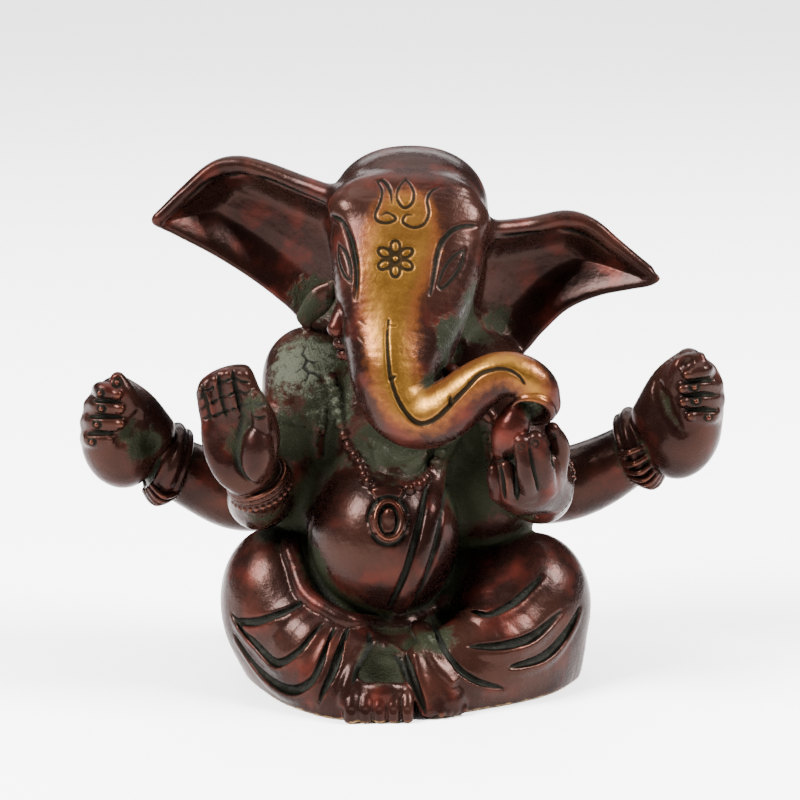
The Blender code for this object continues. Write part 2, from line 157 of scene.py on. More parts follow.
def read_field(field, spot):
    """A field's values at spots given in its own cells."""
    spot = np.clip(spot, 0.001, np.array(field.shape) - 1.001)
    base = spot.astype(int)
    part = spot - base
    total = 0.0
    for dx in (0, 1):
        for dy in (0, 1):
            for dz in (0, 1):
                weight = abs(1 - dx - part[:, 0]) * abs(1 - dy - part[:, 1])
                weight = weight * abs(1 - dz - part[:, 2])
                total = total + weight * field[base[:, 0] + dx, base[:, 1] + dy, base[:, 2] + dz]
    return total


def blurred(field, reach):
    """A field averaged over a cube that reaches some cells each way."""
    for axis in range(3):
        pads = [(reach + 1, reach) if k == axis else (0, 0) for k in range(3)]
        total = np.cumsum(np.pad(field, pads, mode="edge"), axis=axis, dtype=np.float64)
        size = field.shape[axis]
        ahead = np.take(total, range(2 * reach + 1, 2 * reach + 1 + size), axis=axis)
        behind = np.take(total, range(size), axis=axis)
        field = ((ahead - behind) / (2 * reach + 1)).astype(np.float32)
    return field


class Block:
    """A box of the grid that holds distances."""

    def __init__(self, start, stop, step):
        self.start = np.asarray(start)
        self.stop = np.maximum(self.start, np.asarray(stop))
        self.step = step
        self.field = np.full(self.stop - self.start, FAR, np.float32)

    def overlap(self, low, high):
        """The cells that this block shares with a box."""
        start = np.maximum(np.floor(np.array(low) / self.step).astype(int), self.start)
        stop = np.minimum(np.ceil(np.array(high) / self.step).astype(int), self.stop)
        return start, np.maximum(start, stop)

    def slices(self, start, stop):
        return tuple(slice(a - o, b - o) for a, b, o in zip(start, stop, self.start))

    def grid(self, start, stop):
        made = []
        for axis in range(3):
            row = np.arange(start[axis], stop[axis], dtype=np.float32) * np.float32(self.step)
            made.append(row.reshape([-1 if axis == k else 1 for k in range(3)]))
        return made

    def sample(self, field, points):
        """The field at points of the figure's grid, between its voxels."""
        return read_field(field, np.asarray(points) / self.step - self.start)

    def slope(self, field, points):
        """The field's gradient at points."""
        rows = []
        for axis in range(3):
            shift = np.zeros(3)
            shift[axis] = self.step * 0.75
            rows.append(self.sample(field, points + shift) - self.sample(field, points - shift))
        return np.array(rows).T / (1.5 * self.step)


class Ball:
    """An ellipsoid."""

    def __init__(self, centre, radii, turn=(0, 0, 0)):
        self.centre = np.array(centre, float)
        self.radii = np.array(radii, float)
        self.spin = spun(turn)
        half = np.sqrt(((self.spin * self.radii) ** 2).sum(1)) + REACH
        self.low = self.centre - half
        self.high = self.centre + half

    def spread(self, block, start, stop):
        x, y, z = [axis - c for axis, c in zip(block.grid(start, stop), self.centre)]
        near = 0.0
        steep = 0.0
        for k in range(3):
            along = self.spin[0, k] * x + self.spin[1, k] * y + self.spin[2, k] * z
            part = (along / self.radii[k]) ** 2
            near = near + part
            steep = steep + part / self.radii[k] ** 2
        near = np.sqrt(near)
        return (near * (near - 1) / np.maximum(np.sqrt(steep), 1e-5)).astype(np.float32)


def spans(local, rows, sizes):
    """Each span of a line that meets a block: its ends, its cells, and their places from its start."""
    for a, b in zip(rows, rows[1:]):
        reach = max(*a[sizes], *b[sizes]) + REACH
        first, last = local.overlap(np.minimum(a, b)[:3] - reach, np.maximum(a, b)[:3] + reach)
        if (last > first).all():
            places = [axis - c for axis, c in zip(local.grid(first, last), a)]
            yield a, b, local.field[local.slices(first, last)], places


class Limb:
    """A round bar of changing radius along a smooth line of x, y, z and radius."""

    def __init__(self, rows, per_span=6):
        self.rows = smooth_line(rows, per_span)
        self.low = (self.rows[:, :3] - self.rows[:, 3:4]).min(0) - REACH
        self.high = (self.rows[:, :3] + self.rows[:, 3:4]).max(0) + REACH

    def spread(self, block, start, stop):
        local = Block(start, stop, block.step)
        for a, b, view, (x, y, z) in spans(local, self.rows, slice(3, 4)):
            run = b[:3] - a[:3]
            part = np.clip((x * run[0] + y * run[1] + z * run[2]) / max(float(run @ run), 1e-9), 0, 1)
            away = np.sqrt((x - part * run[0]) ** 2 + (y - part * run[1]) ** 2 + (z - part * run[2]) ** 2)
            away -= a[3] + part * (b[3] - a[3])
            np.minimum(view, away.astype(np.float32), out=view)
        return local.field


class Loft:
    """A bar with an oval section: rows of x, y, z, half width, half thickness and which way is up."""

    def __init__(self, rows, power=2.0):
        self.rows = smooth_line(rows)
        self.power = power
        size = self.rows[:, 3:5].max(1, keepdims=True)
        self.low = (self.rows[:, :3] - size).min(0) - REACH
        self.high = (self.rows[:, :3] + size).max(0) + REACH

    def spread(self, block, start, stop):
        local = Block(start, stop, block.step)
        p = self.power
        for a, b, view, (x, y, z) in spans(local, self.rows, slice(3, 5)):
            run = b[:3] - a[:3]
            length = max(np.linalg.norm(run), 1e-6)
            ahead = run / length
            top = (a[5:8] + b[5:8]) / 2
            top = top - (top @ ahead) * ahead
            top /= max(np.linalg.norm(top), 1e-6)
            across = np.cross(ahead, top)
            along = x * ahead[0] + y * ahead[1] + z * ahead[2]
            part = np.clip(along / length, 0, 1)
            wide = a[3] + part * (b[3] - a[3])
            thick = a[4] + part * (b[4] - a[4])
            total = 0.0
            steep = 0.0
            offs = [(x * across[0] + y * across[1] + z * across[2], wide),
                    (x * top[0] + y * top[1] + z * top[2], thick),
                    (along - part * length, np.minimum(wide, thick))]
            for off, size in offs:
                share = np.abs(off) / size
                total = total + share ** p
                steep = steep + (share ** (p - 1) / size) ** 2
            near = np.maximum(total, 1e-9) ** (1 / p)
            steep = np.sqrt(steep) * near ** (1 - p)
            away = (near - 1) / np.maximum(steep, 0.5 / np.maximum(wide, thick))
            np.minimum(view, away.astype(np.float32), out=view)
        return local.field


class Torus:
    """A ring about an axis; tall stretches its section along the axis."""

    def __init__(self, centre, axis, radius, tube, tall=1.0):
        self.centre = np.array(centre, float)
        self.axis = np.array(Vector(axis).normalized())
        self.radius = radius
        self.tube = tube
        self.tall = tall
        half = radius + tube * max(1.0, tall) + REACH
        self.low = self.centre - half
        self.high = self.centre + half

    def spread(self, block, start, stop):
        x, y, z = [axis - c for axis, c in zip(block.grid(start, stop), self.centre)]
        up = x * self.axis[0] + y * self.axis[1] + z * self.axis[2]
        out = np.sqrt(np.maximum(x * x + y * y + z * z - up * up, 0)) - self.radius
        return (np.sqrt(out * out + (up / self.tall) ** 2) - self.tube).astype(np.float32)


class Sheet:
    """A sheet of changing depth and thickness inside an outline of x and z seen from the front."""

    def __init__(self, outline, depth, thick, round_off=1.2):
        self.outline = smooth_line(list(outline) + [outline[0]], 5)
        self.depth = depth
        self.thick = thick
        self.round_off = round_off
        self.low = np.array([self.outline[:, 0].min() - 2, -28.0, self.outline[:, 1].min() - 2])
        self.high = np.array([self.outline[:, 0].max() + 2, 20.0, self.outline[:, 1].max() + 2])

    def spread(self, block, start, stop):
        x, y, z = block.grid(start, stop)
        flat_x, flat_z = np.broadcast_arrays(x[:, 0, :], z[:, 0, :])
        rim = outline_distance(self.outline, flat_x, flat_z)
        depth = self.depth(flat_x, flat_z, rim)
        slope = np.hypot(*np.gradient(depth, block.step)) if min(depth.shape) > 1 else 0.0
        lean = 1 / np.sqrt(1 + slope ** 2)
        half = self.thick(flat_x, flat_z, rim) / 2
        away = (np.abs(y - depth[:, None, :]) - half[:, None, :]) * lean[:, None, :]
        return soft_max(away, rim[:, None, :], self.round_off).astype(np.float32)


def outline_distance(outline, x, z):
    """Signed distance to a closed outline, negative inside."""
    best = np.full(x.shape, 1e9)
    inside = np.zeros(x.shape, bool)
    for (ax, az), (bx, bz) in zip(outline, outline[1:]):
        run_x, run_z = bx - ax, bz - az
        part = np.clip(((x - ax) * run_x + (z - az) * run_z) / max(run_x ** 2 + run_z ** 2, 1e-9), 0, 1)
        best = np.minimum(best, (x - ax - part * run_x) ** 2 + (z - az - part * run_z) ** 2)
        if az != bz:
            crossing = ((az > z) != (bz > z)) & (x < run_x * (z - az) / run_z + ax)
            inside ^= crossing
    away = np.sqrt(best)
    return np.where(inside, -away, away)


class Clay:
    """The fused figure inside one box: its skin, and which node each spot belongs to."""

    def __init__(self, low, high, step):
        start = np.floor(np.array(low) / step).astype(int)
        stop = np.ceil(np.array(high) / step).astype(int)
        self.block = Block(start, stop, step)
        self.skin = self.block.field
        self.near = np.full_like(self.skin, FAR)
        self.second = np.full_like(self.skin, FAR)
        self.owner = np.zeros(self.skin.shape, np.uint8)
        self.tool = np.full_like(self.skin, FAR)

    def lump(self, strokes):
        """One node's own distances from its strokes: (shape, soft) adds and (shape, -soft) digs."""
        low = np.min([shape.low for shape, soft in strokes if soft >= 0], axis=0)
        high = np.max([shape.high for shape, soft in strokes if soft >= 0], axis=0)
        start, stop = self.block.overlap(low, high)
        made = Block(start, stop, self.block.step)
        for shape, soft in strokes:
            first, last = made.overlap(shape.low, shape.high)
            if (last <= first).any():
                continue
            part = made.slices(first, last)
            spread = shape.spread(made, first, last)
            if soft < 0:
                made.field[part] = soft_max(made.field[part], -spread, -soft)
            else:
                made.field[part] = soft_min(made.field[part], spread, soft)
        return made

    def press(self, number, strokes, soft):
        """Adds a node's lump to the figure, with a fillet where it meets the rest."""
        lump = self.lump(strokes)
        part = self.block.slices(lump.start, lump.stop)
        self.skin[part] = soft_min(self.skin[part], lump.field, soft)
        near, second, owner = self.near[part], self.second[part], self.owner[part]
        first = lump.field < near
        second[...] = np.where(first, near, np.minimum(second, lump.field))
        owner[first] = number
        near[...] = np.minimum(near, lump.field)

    def around(self, shape):
        """The cells that a shape reaches, and its distances there."""
        start, stop = self.block.overlap(shape.low, shape.high)
        return self.block.slices(start, stop), shape.spread(self.block, start, stop)

    def carve(self, shape, soft):
        """A cut, whose ground is later painted near-black: painted shade, with dirt."""
        part, spread = self.around(shape)
        self.skin[part] = soft_max(self.skin[part], -spread, soft)
        self.tool[part] = np.minimum(self.tool[part], spread)

    def dent(self, shape, soft):
        """A hollow that isn't blackened like a cut."""
        part, spread = self.around(shape)
        self.skin[part] = soft_max(self.skin[part], -spread, soft)

    def swell(self, shape, soft):
        """A lump that belongs to the nodes it lies on."""
        part, spread = self.around(shape)
        self.skin[part] = soft_min(self.skin[part], spread, soft)

    def outward(self, points):
        """The skin's outward direction at points on it."""
        slope = self.block.slope(self.skin, np.asarray(points, float))
        return slope / np.maximum(np.linalg.norm(slope, axis=1, keepdims=True), 1e-6)

    def onto(self, points):
        """Points near the skin moved onto it, in six steps down its slope."""
        points = np.array([row[:3] for row in points], float)
        for _ in range(6):
            slope = self.block.slope(self.skin, points)
            size = np.maximum((slope ** 2).sum(1, keepdims=True), 0.05)
            move = slope / size * self.block.sample(self.skin, points)[:, None]
            points -= np.clip(move, -1.5, 1.5)
        return points

    def struck(self, start, aim):
        """Where a straight line from outside first meets the skin."""
        line = np.array(start, float) + np.linspace(0, 1, PROBES)[:, None] * np.subtract(aim, start)
        inside = self.block.sample(self.skin, line) < 0
        return line[np.argmax(inside)]

    def faced(self, points):
        """Points near the front of the skin moved onto it along the line of sight."""
        reach = SIGHT * SEARCH
        return np.array([self.struck(np.subtract(row[:3], reach), np.add(row[:3], reach))
                         for row in points])


# ---------------------------------------------------------------- the figure

TRUNK_LINE = [
    (0.3, -10.5, 73.0, 3.4), (-0.7, -16.4, 66.0, 5.6), (-1.2, -19.6, 60.5, 6.6), (-0.4, -21.0, 55.8, 6.4),
    (2.4, -22.5, 53.0, 5.9), (6.2, -24.0, 52.9, 5.4), (9.8, -25.4, 55.2, 4.9), (13.2, -26.3, 58.3, 4.4),
    (17.0, -26.8, 60.5, 4.0), (20.8, -26.8, 60.4, 3.8), (23.6, -26.5, 58.4, 3.6), (24.6, -26.0, 55.6, 3.2),
]
FACE = [
    (1.9, -5.0, 85.8, 12.4, 6.0, 0, -1, 0), (1.7, -7.6, 80.0, 13.2, 7.6, 0, -1, 0),
    (1.0, -11.2, 73.0, 11.7, 7.9, 0, -1, 0), (0.0, -14.8, 66.0, 9.2, 7.2, 0, -1, 0),
    (-0.7, -17.6, 61.0, 6.8, 6.0, 0, -1, 0),
]
RIGHT_EAR_OUTLINE = [
    (-6.0, 80.0), (-9.0, 87.2), (-13.0, 88.5), (-17.5, 90.0), (-23.9, 92.3), (-28.5, 93.4), (-32.9, 92.4),
    (-37.6, 88.7), (-41.6, 85.0), (-44.0, 82.3), (-39.9, 79.5), (-33.6, 75.7), (-26.5, 70.9), (-20.5, 66.3),
    (-16.0, 62.6), (-9.0, 62.0), (-4.0, 68.0),
]
LEFT_EAR_OUTLINE = [
    (9.0, 79.0), (13.5, 82.5), (18.5, 81.9), (23.8, 82.2), (30.2, 83.4), (34.9, 82.2), (39.3, 78.7),
    (43.6, 75.1), (47.0, 72.6), (45.6, 70.9), (41.7, 69.8), (36.3, 68.3), (30.9, 65.7), (26.4, 61.5),
    (22.0, 57.3), (15.0, 58.0), (9.0, 66.0),
]
PALM_OUTLINE = [
    (-34.8, 56.0), (-34.2, 57.8), (-32.6, 59.2), (-30.6, 60.2), (-28.2, 60.8), (-26.0, 60.7), (-24.9, 59.4),
    (-23.9, 56.8), (-22.4, 54.2), (-21.0, 51.2), (-20.4, 47.6), (-21.2, 43.4), (-23.2, 40.0), (-26.4, 38.2),
    (-29.2, 39.3), (-31.2, 42.4), (-32.9, 46.8), (-34.2, 51.6),
]

TOES = 5
# The rear hands' curled fingers: x and z of the outer end, the middle and the inner end of each
RIGHT_FINGERS = [
    [(-53.9, 52.3), (-52.9, 52.9), (-50.6, 52.4)], [(-55.4, 49.4), (-53.4, 50.0), (-50.2, 49.8)],
    [(-56.1, 46.2), (-54.0, 47.0), (-50.1, 46.9)], [(-56.1, 43.2), (-54.9, 43.8), (-51.6, 43.9)],
]
LEFT_FINGERS = [
    [(56.0, 55.8), (54.6, 56.4), (52.2, 56.0)], [(57.2, 53.2), (54.4, 53.8), (51.4, 53.4)],
    [(57.6, 50.4), (54.6, 51.2), (51.6, 51.0)], [(57.2, 47.6), (56.0, 48.2), (53.0, 48.4)],
]


def torso():
    return [
        (Ball((0.0, 7.5, 34.0), (15.5, 11.5, 19.5)), 0),
        (Ball((-1.0, 1.5, 46.5), (15.0, 10.5, 14.5)), 5),
        (Ball((-2.7, -7.4, 27.3), (13.6, 14.6, 14.6)), 4),
        (Ball((-15.8, 2.5, 54.2), (8.6, 8.2, 9.4)), 4),
        (Ball((15.4, 2.5, 52.6), (8.6, 8.2, 9.4)), 4),
        (Ball((0.5, 1.0, 62.0), (9.0, 9.0, 7.0)), 3),
        (Ball((-16.5, 2.0, 33.5), (8.0, 8.5, 11.5)), 3),
        (Ball((16.8, 2.0, 33.5), (9.5, 8.5, 11.5)), 3),
    ]


def head():
    return [
        (Loft([(2.2, 4.0, 74.0, 12.4, 12.0, 0, -1, 0),
               (2.1, 3.2, 84.5, 14.0, 11.5, 0, -1, 0)], power=2.2), 0),
        (Loft(FACE, power=3.0), 2.2),
        (Ball((-7.8, -6.6, 86.2), (4.4, 4.6, 3.4), (0, 10, 0)), 2),
        (Ball((11.8, -6.2, 83.8), (4.4, 4.6, 3.8), (0, -10, 0)), 2),
        (Limb([(9.6, -2.0, 79.5, 6.2), (8.2, -6.5, 69.0, 4.6), (5.0, -11.5, 60.0, 4.0)]), 2),
        (Limb([(-5.8, -2.5, 79.5, 6.0), (-6.0, -7.0, 69.5, 4.4), (-4.6, -11.5, 61.0, 4.0)]), 2),
        (Ball((1.0, 3.5, 69.0), (10.0, 9.5, 10.0)), 3),
    ]


def trunk():
    return [
        (Limb(TRUNK_LINE), 0),
        (Torus((22.9, -28.0, 54.8), (-0.15, -0.75, -0.65), 3.1, 0.8), 0.6),
        (Ball((22.4, -28.9, 54.2), (2.9, 2.9, 3.0)), -0.4),
    ]


# How far back an ear starts, how far it arches, and how wide and deep the dish in its rim is
EAR_ROOT = 1.5
EAR_ARCH = 6.5
DISH_WIDTH = 7.5
DISH_DEPTH = 4.4


def ear_depth(along, rim):
    """How far back an ear lies: it arches away from the head, and is dished inside its rim."""
    dip = np.clip(-rim / DISH_WIDTH, 0, 1)
    bowl = DISH_DEPTH * dip * dip * (3 - 2 * dip)
    return EAR_ROOT + EAR_ARCH * np.sin(np.pi * along ** 0.9) + 1.2 * along + bowl


def right_ear():
    def along(x):
        return np.clip((-x - 8.0) / 36.0, 0, 1)

    def depth(x, z, rim):
        below = np.clip(1 - (z - 62.5 - 20.0 * along(x)) / 9.0, 0, 1)
        return ear_depth(along(x), rim) + 1.6 * below

    rim = [
        (-11.0, -1.0, 87.4, 1.9), (-17.5, 2.8, 89.3, 1.8), (-23.9, 5.4, 91.4, 1.7),
        (-28.6, 6.6, 92.3, 1.6), (-33.0, 7.0, 91.2, 1.5), (-37.6, 6.0, 87.6, 1.3),
        (-42.6, 4.0, 83.0, 1.0),
    ]
    return [
        (Sheet(RIGHT_EAR_OUTLINE, depth, lambda x, z, rim: 3.2 - 0.9 * along(x)), 0),
        (Limb(rim), 1.2),
        (Loft([(-16.8, -0.4, 65.4, 1.6, 1.0, 0, -1, 0), (-13.6, -0.8, 69.4, 2.4, 1.2, 0, -1, 0),
               (-11.8, -1.2, 72.0, 0.8, 0.8, 0, -1, 0)]), 0.6),
    ]


def left_ear():
    def along(x):
        return np.clip((x - 12.0) / 35.0, 0, 1)

    def depth(x, z, rim):
        return ear_depth(along(x), rim)

    rim = [
        (14.0, -1.5, 81.6, 1.9), (18.8, 1.8, 81.3, 1.8), (24.0, 5.0, 81.5, 1.7),
        (30.2, 7.0, 82.4, 1.6), (34.8, 7.2, 81.0, 1.5), (39.2, 6.0, 77.7, 1.3),
        (44.8, 4.2, 73.6, 1.0),
    ]
    return [
        (Sheet(LEFT_EAR_OUTLINE, depth, lambda x, z, rim: 3.2 - 0.9 * along(x)), 0),
        (Limb(rim), 1.2),
    ]


def right_tusk():
    return [
        (Limb([(-8.0, -12.5, 72.0, 1.2), (-9.2, -15.5, 69.4, 1.9), (-10.6, -17.2, 66.8, 1.6)]), 0),
        (Torus((-9.6, -15.0, 65.6), (0.15, 0.2, 1), 1.1, 1.0), 0.3),
        (Torus((-9.3, -14.6, 63.6), (0.1, 0.2, 1), 1.0, 1.0), 0.3),
        (Torus((-8.9, -14.2, 61.6), (0.1, 0.2, 1), 0.8, 1.0), 0.3),
    ]


def left_tusk():
    return [(Limb([(9.4, -15.0, 58.6, 1.6), (13.2, -18.5, 54.6, 1.8), (16.0, -19.5, 51.8, 1.2)]), 0)]


def seat():
    return [
        (Ball((0.0, 7.0, 11.0), (24.0, 15.5, 15.0)), 0),
        (Ball((1.0, 6.0, 2.0), (29.0, 17.0, 7.5)), 4),
        (Ball((0.0, -10.0, 5.0), (15.0, 15.0, 8.6)), 4),
    ]


def right_leg():
    return [
        (Limb([(-8.0, 7.0, 14.0, 12.0), (-17.0, -1.0, 13.0, 11.0), (-15.0, -14.0, 9.5, 9.0),
               (-7.0, -20.0, 7.0, 7.0)]), 0),
        (Ball((-20.0, -4.0, 12.4), (11.8, 12.5, 13.2)), 4),
        (Ball((-22.0, -3.0, 17.0), (9.4, 11.0, 10.6)), 3),
        (Limb([(-16.5, -2.0, 3.0, 11.2), (-13.5, -13.0, 3.0, 10.0), (-9.5, -20.5, 2.5, 8.2),
               (-7.2, -23.2, 2.0, 6.6)], 16), 4),
    ]


def left_leg():
    return [
        (Limb([(8.0, 7.0, 13.0, 12.0), (18.0, -1.0, 12.5, 11.0), (18.0, -13.0, 9.0, 9.0),
               (9.5, -18.5, 7.0, 6.5)]), 0),
        (Ball((21.6, -4.0, 11.8), (12.9, 12.5, 12.6)), 4),
        (Ball((24.6, -3.0, 15.5), (9.8, 11.0, 10.9)), 3),
        (Limb([(22.5, -2.5, 3.0, 11.2), (19.5, -9.5, 3.0, 9.8), (10.5, -18.5, 3.0, 7.0)], 16), 4),
    ]


def toe_place(toe):
    """How far across each toe of the right foot lies."""
    return -8.0 + 2.42 * toe


def right_foot():
    strokes = [
        (Ball((-2.6, -23.4, 4.6), (6.2, 7.0, 4.8)), 0),
        (Limb([(-4.6, -18.0, 8.0, 3.2), (-3.2, -22.0, 6.0, 4.0)]), 2),
    ]
    for toe in range(TOES):
        x = toe_place(toe)
        thick = 1.42 - 0.08 * toe
        strokes.append((Limb([(x * 0.8 - 0.4, -25.2, 5.2, thick), (x * 0.96, -28.4, 4.4, thick),
                              (x, -30.0, 2.4, thick), (x, -30.0, 0.8, thick)]), 0.4))
    return strokes


def left_foot():
    strokes = [
        (Limb([(4.2, -22.8, 9.0, 2.9), (6.4, -24.0, 5.6, 3.7), (8.2, -24.4, 2.4, 4.0)]), 0),
        (Limb([(3.0, -25.2, 10.2, 0.9), (4.2, -27.2, 6.0, 1.2), (5.6, -28.0, 1.4, 1.2)]), 1.5),
    ]
    for toe in range(4):
        strokes.append((Limb([(7.0 + 1.15 * toe, -27.2 + 0.5 * toe, 4.4 - 0.3 * toe, 0.7),
                              (7.5 + 1.25 * toe, -28.3 + 0.7 * toe, 1.2, 0.9)]), 0.3))
    return strokes


def right_rear_arm():
    return [(Limb([(-10.0, 4.0, 50.0, 6.5), (-18.0, 9.5, 37.0, 6.8), (-22.5, 11.0, 31.8, 7.2),
                   (-29.5, 11.0, 30.6, 6.9), (-37.0, 10.5, 33.6, 6.1), (-43.5, 8.0, 38.0, 5.0)], 12), 0)]


def left_rear_arm():
    return [(Limb([(10.0, 4.0, 50.0, 6.5), (19.0, 9.5, 38.0, 6.8), (24.0, 11.0, 32.6, 7.2),
                   (31.0, 11.0, 32.4, 6.9), (38.0, 10.5, 35.2, 6.3), (46.0, 8.0, 41.0, 5.0)], 12), 0)]


def right_front_arm():
    return [(Limb([(-16.5, -1.0, 53.0, 7.2), (-20.5, -3.0, 43.0, 6.2), (-24.5, -7.0, 34.5, 5.8),
                   (-24.4, -14.6, 38.6, 5.2)], 16), 0)]


def left_front_arm():
    return [(Limb([(16.5, -1.0, 52.0, 7.2), (21.5, -3.0, 43.0, 6.4), (25.0, -7.5, 36.0, 6.0),
                   (25.6, -16.0, 38.5, 5.0)], 16), 0)]


def right_front_hand():
    def depth(x, z, rim):
        return -18.6 - 0.05 * (z - 50.0)

    def thick(x, z, rim):
        return 4.6 + 1.8 * np.clip((52.0 - z) / 10.0, 0, 1)

    strokes = [
        (Sheet(PALM_OUTLINE, depth, thick, 1.8), 0),
        (Ball((-26.6, -17.6, 42.6), (4.6, 3.8, 5.2)), 2),
        (Ball((-30.9, -20.4, 45.4), (2.4, 2.0, 5.6), (0, -18, 0)), 1.5),
        (Ball((-24.4, -21.3, 45.6), (2.9, 2.6, 5.2), (0, 4, 0)), 0.4),
        (Limb([(-23.4, -21.0, 50.0, 1.7), (-23.6, -21.6, 53.4, 1.5), (-24.5, -21.4, 55.8, 1.1)]), 0.3),
    ]
    for x, top in ((-33.3, 56.6), (-31.2, 58.4), (-28.9, 59.4), (-26.5, 59.2)):
        finger = [(x + 1.3, -20.4, 52.6, 0.95), (x + 0.7, -20.8, 55.2, 1.0), (x, -20.8, top, 0.95)]
        strokes.append((Limb(finger), 0.5))
    return strokes


def left_front_hand():
    return [
        (Ball((21.9, -23.4, 42.0), (6.6, 5.4, 6.7)), 0),
        (Ball((26.0, -19.0, 39.0), (4.6, 4.6, 5.0)), 3),
        (Limb([(22.5, -26.8, 40.2, 2.0), (21.8, -29.4, 44.6, 1.85), (21.0, -29.0, 49.4, 1.5)]), 0.3),
        (Limb([(25.3, -25.8, 40.6, 2.0), (24.8, -28.4, 45.4, 1.85), (23.4, -28.8, 50.0, 1.5)]), 0.3),
        (Limb([(19.3, -26.4, 39.4, 1.7), (18.8, -28.2, 42.4, 1.5), (18.4, -28.2, 45.0, 1.2)]), 0.3),
        (Limb([(17.2, -24.8, 39.4, 1.5), (16.6, -26.2, 42.2, 1.3), (16.4, -26.0, 44.0, 1.0)]), 0.3),
        (Limb([(27.2, -22.4, 42.6, 2.0), (27.9, -23.6, 47.4, 1.7), (26.4, -25.0, 50.8, 1.3)]), 0.6),
        (Ball((26.2, -26.6, 47.6), (0.9, 1.8, 2.4)), -0.5),
    ]


def rear_hand(side, masses, back, fingers, thumb):
    """A closed hand: its masses, the back of the hand, four curled fingers in front, and the thumb."""
    lean = (0, side * 12, 0)
    strokes = [(Ball(centre, radii, lean), 3) for centre, radii in masses]
    strokes.append((Limb(back), 2.5))
    for outer, middle, inner in fingers:
        strokes.append((Limb([(outer[0], 1.2, outer[1], 1.3), (middle[0], -1.9, middle[1], 1.45),
                              (inner[0], -2.6, inner[1], 1.2)]), 0.9))
    strokes.append((Limb(thumb), 1.2))
    return strokes


def right_rear_hand():
    masses = [((-50.5, 3.2, 42.0), (7.0, 6.8, 8.4)), ((-51.4, 2.8, 47.6), (5.2, 5.6, 5.8))]
    back = [(-50.4, 2.6, 52.0, 2.4), (-47.2, 2.8, 48.2, 3.8), (-44.8, 4.0, 43.8, 4.4)]
    thumb = [(-47.6, 0.0, 49.4, 2.4), (-49.2, -1.0, 52.4, 2.0), (-50.2, -1.0, 54.6, 1.4)]
    return rear_hand(-1, masses, back, RIGHT_FINGERS, thumb)


def left_rear_hand():
    masses = [((51.6, 3.4, 44.6), (7.2, 6.8, 9.4)), ((53.6, 2.8, 51.4), (5.2, 5.6, 6.4))]
    back = [(52.4, 2.2, 57.4, 2.3), (49.2, 2.8, 53.0, 3.6), (46.6, 3.8, 46.8, 4.2)]
    thumb = [(49.6, 0.2, 53.6, 2.2), (51.0, -1.0, 57.2, 1.7), (54.0, -0.8, 58.4, 1.2)]
    return rear_hand(1, masses, back, LEFT_FINGERS, thumb)


def sweet():
    return [(Limb([(18.2, -25.6, 47.8, 2.3), (19.2, -26.4, 50.8, 3.2), (20.2, -26.6, 53.6, 2.4)]), 0)]


# ---------------------------------------------------------------- ornaments laid on the figure

# Where lines that strike the figure's back start: for ornaments and shoulder blades, and
# for cloth and ears
BEHIND = 40.0
FAR_BEHIND = 45.0


def waist_sash():
    """Rolled cloth round the waist, with a knot and a hanging end in front."""
    front = [
        (8.5, -8.0, 15.5), (5.8, -11.3, 14.3), (1.3, -15.0, 13.5), (-3.3, -19.2, 13.9),
        (-8.5, -21.1, 15.4), (-12.1, -19.3, 16.7), (-16.0, -16.2, 18.8), (-17.9, -12.4, 22.3),
        (-19.0, -6.6, 25.4),
    ]
    spots = list(clay.faced(front)) + [np.array((-17.0, 3.0, 24.0))]
    for x in (-14.0, -7.0, 0.0, 7.0, 14.0):
        spots.append(clay.struck((x, BEHIND, 27.0 - abs(x) * 0.1), (x, 6.0, 25.0)))
    spots.append(np.array((15.0, 3.0, 20.0)))
    strokes = [(Limb([(*spot, 1.7) for spot in spots + spots[:1]]), 0)]
    knot = clay.faced([(-0.4, -20.0, 15.6), (2.2, -20.0, 15.0), (4.6, -20.0, 13.6)])
    for spot, size in zip(knot, (1.5, 1.9, 1.4)):
        strokes.append((Ball(spot, (size, size * 0.9, size * 0.8), (0, 30, 0)), 0.3))
    tail = clay.faced([(3.2, -20.0, 14.4), (5.4, -22.0, 11.4), (7.8, -22.0, 8.0), (9.6, -22.0, 5.4)])
    rows = np.column_stack([tail, (1.2, 1.6, 1.7, 1.1), np.full(4, 0.7), clay.outward(tail)])
    strokes.append((Loft(rows, power=2.6), 0.5))
    return strokes


def sacred_thread():
    """A raised band up the belly and down the back."""
    front = [
        (0.4, -16.4, 16.6), (1.6, -18.6, 19.8), (3.2, -19.8, 23.9), (4.8, -19.2, 29.2),
        (6.0, -15.8, 34.4), (6.9, -11.5, 37.8), (8.2, -9.0, 42.5), (10.6, -8.0, 48.5),
    ]
    spots = list(clay.faced(front))
    for x, z in ((17.0, 61.0), (10.0, 52.0), (2.0, 43.0), (-6.0, 35.0), (-12.0, 29.5), (-16.0, 26.0)):
        spots.append(clay.struck((x, BEHIND, z), (x * 0.8, 2.0, z - 4.0)))
    spots = np.array(spots)
    up = clay.outward(spots)
    return [(Loft(wire(spots + up * 0.15, 1.6, np.full(len(spots), 1.0), up)), 0)]


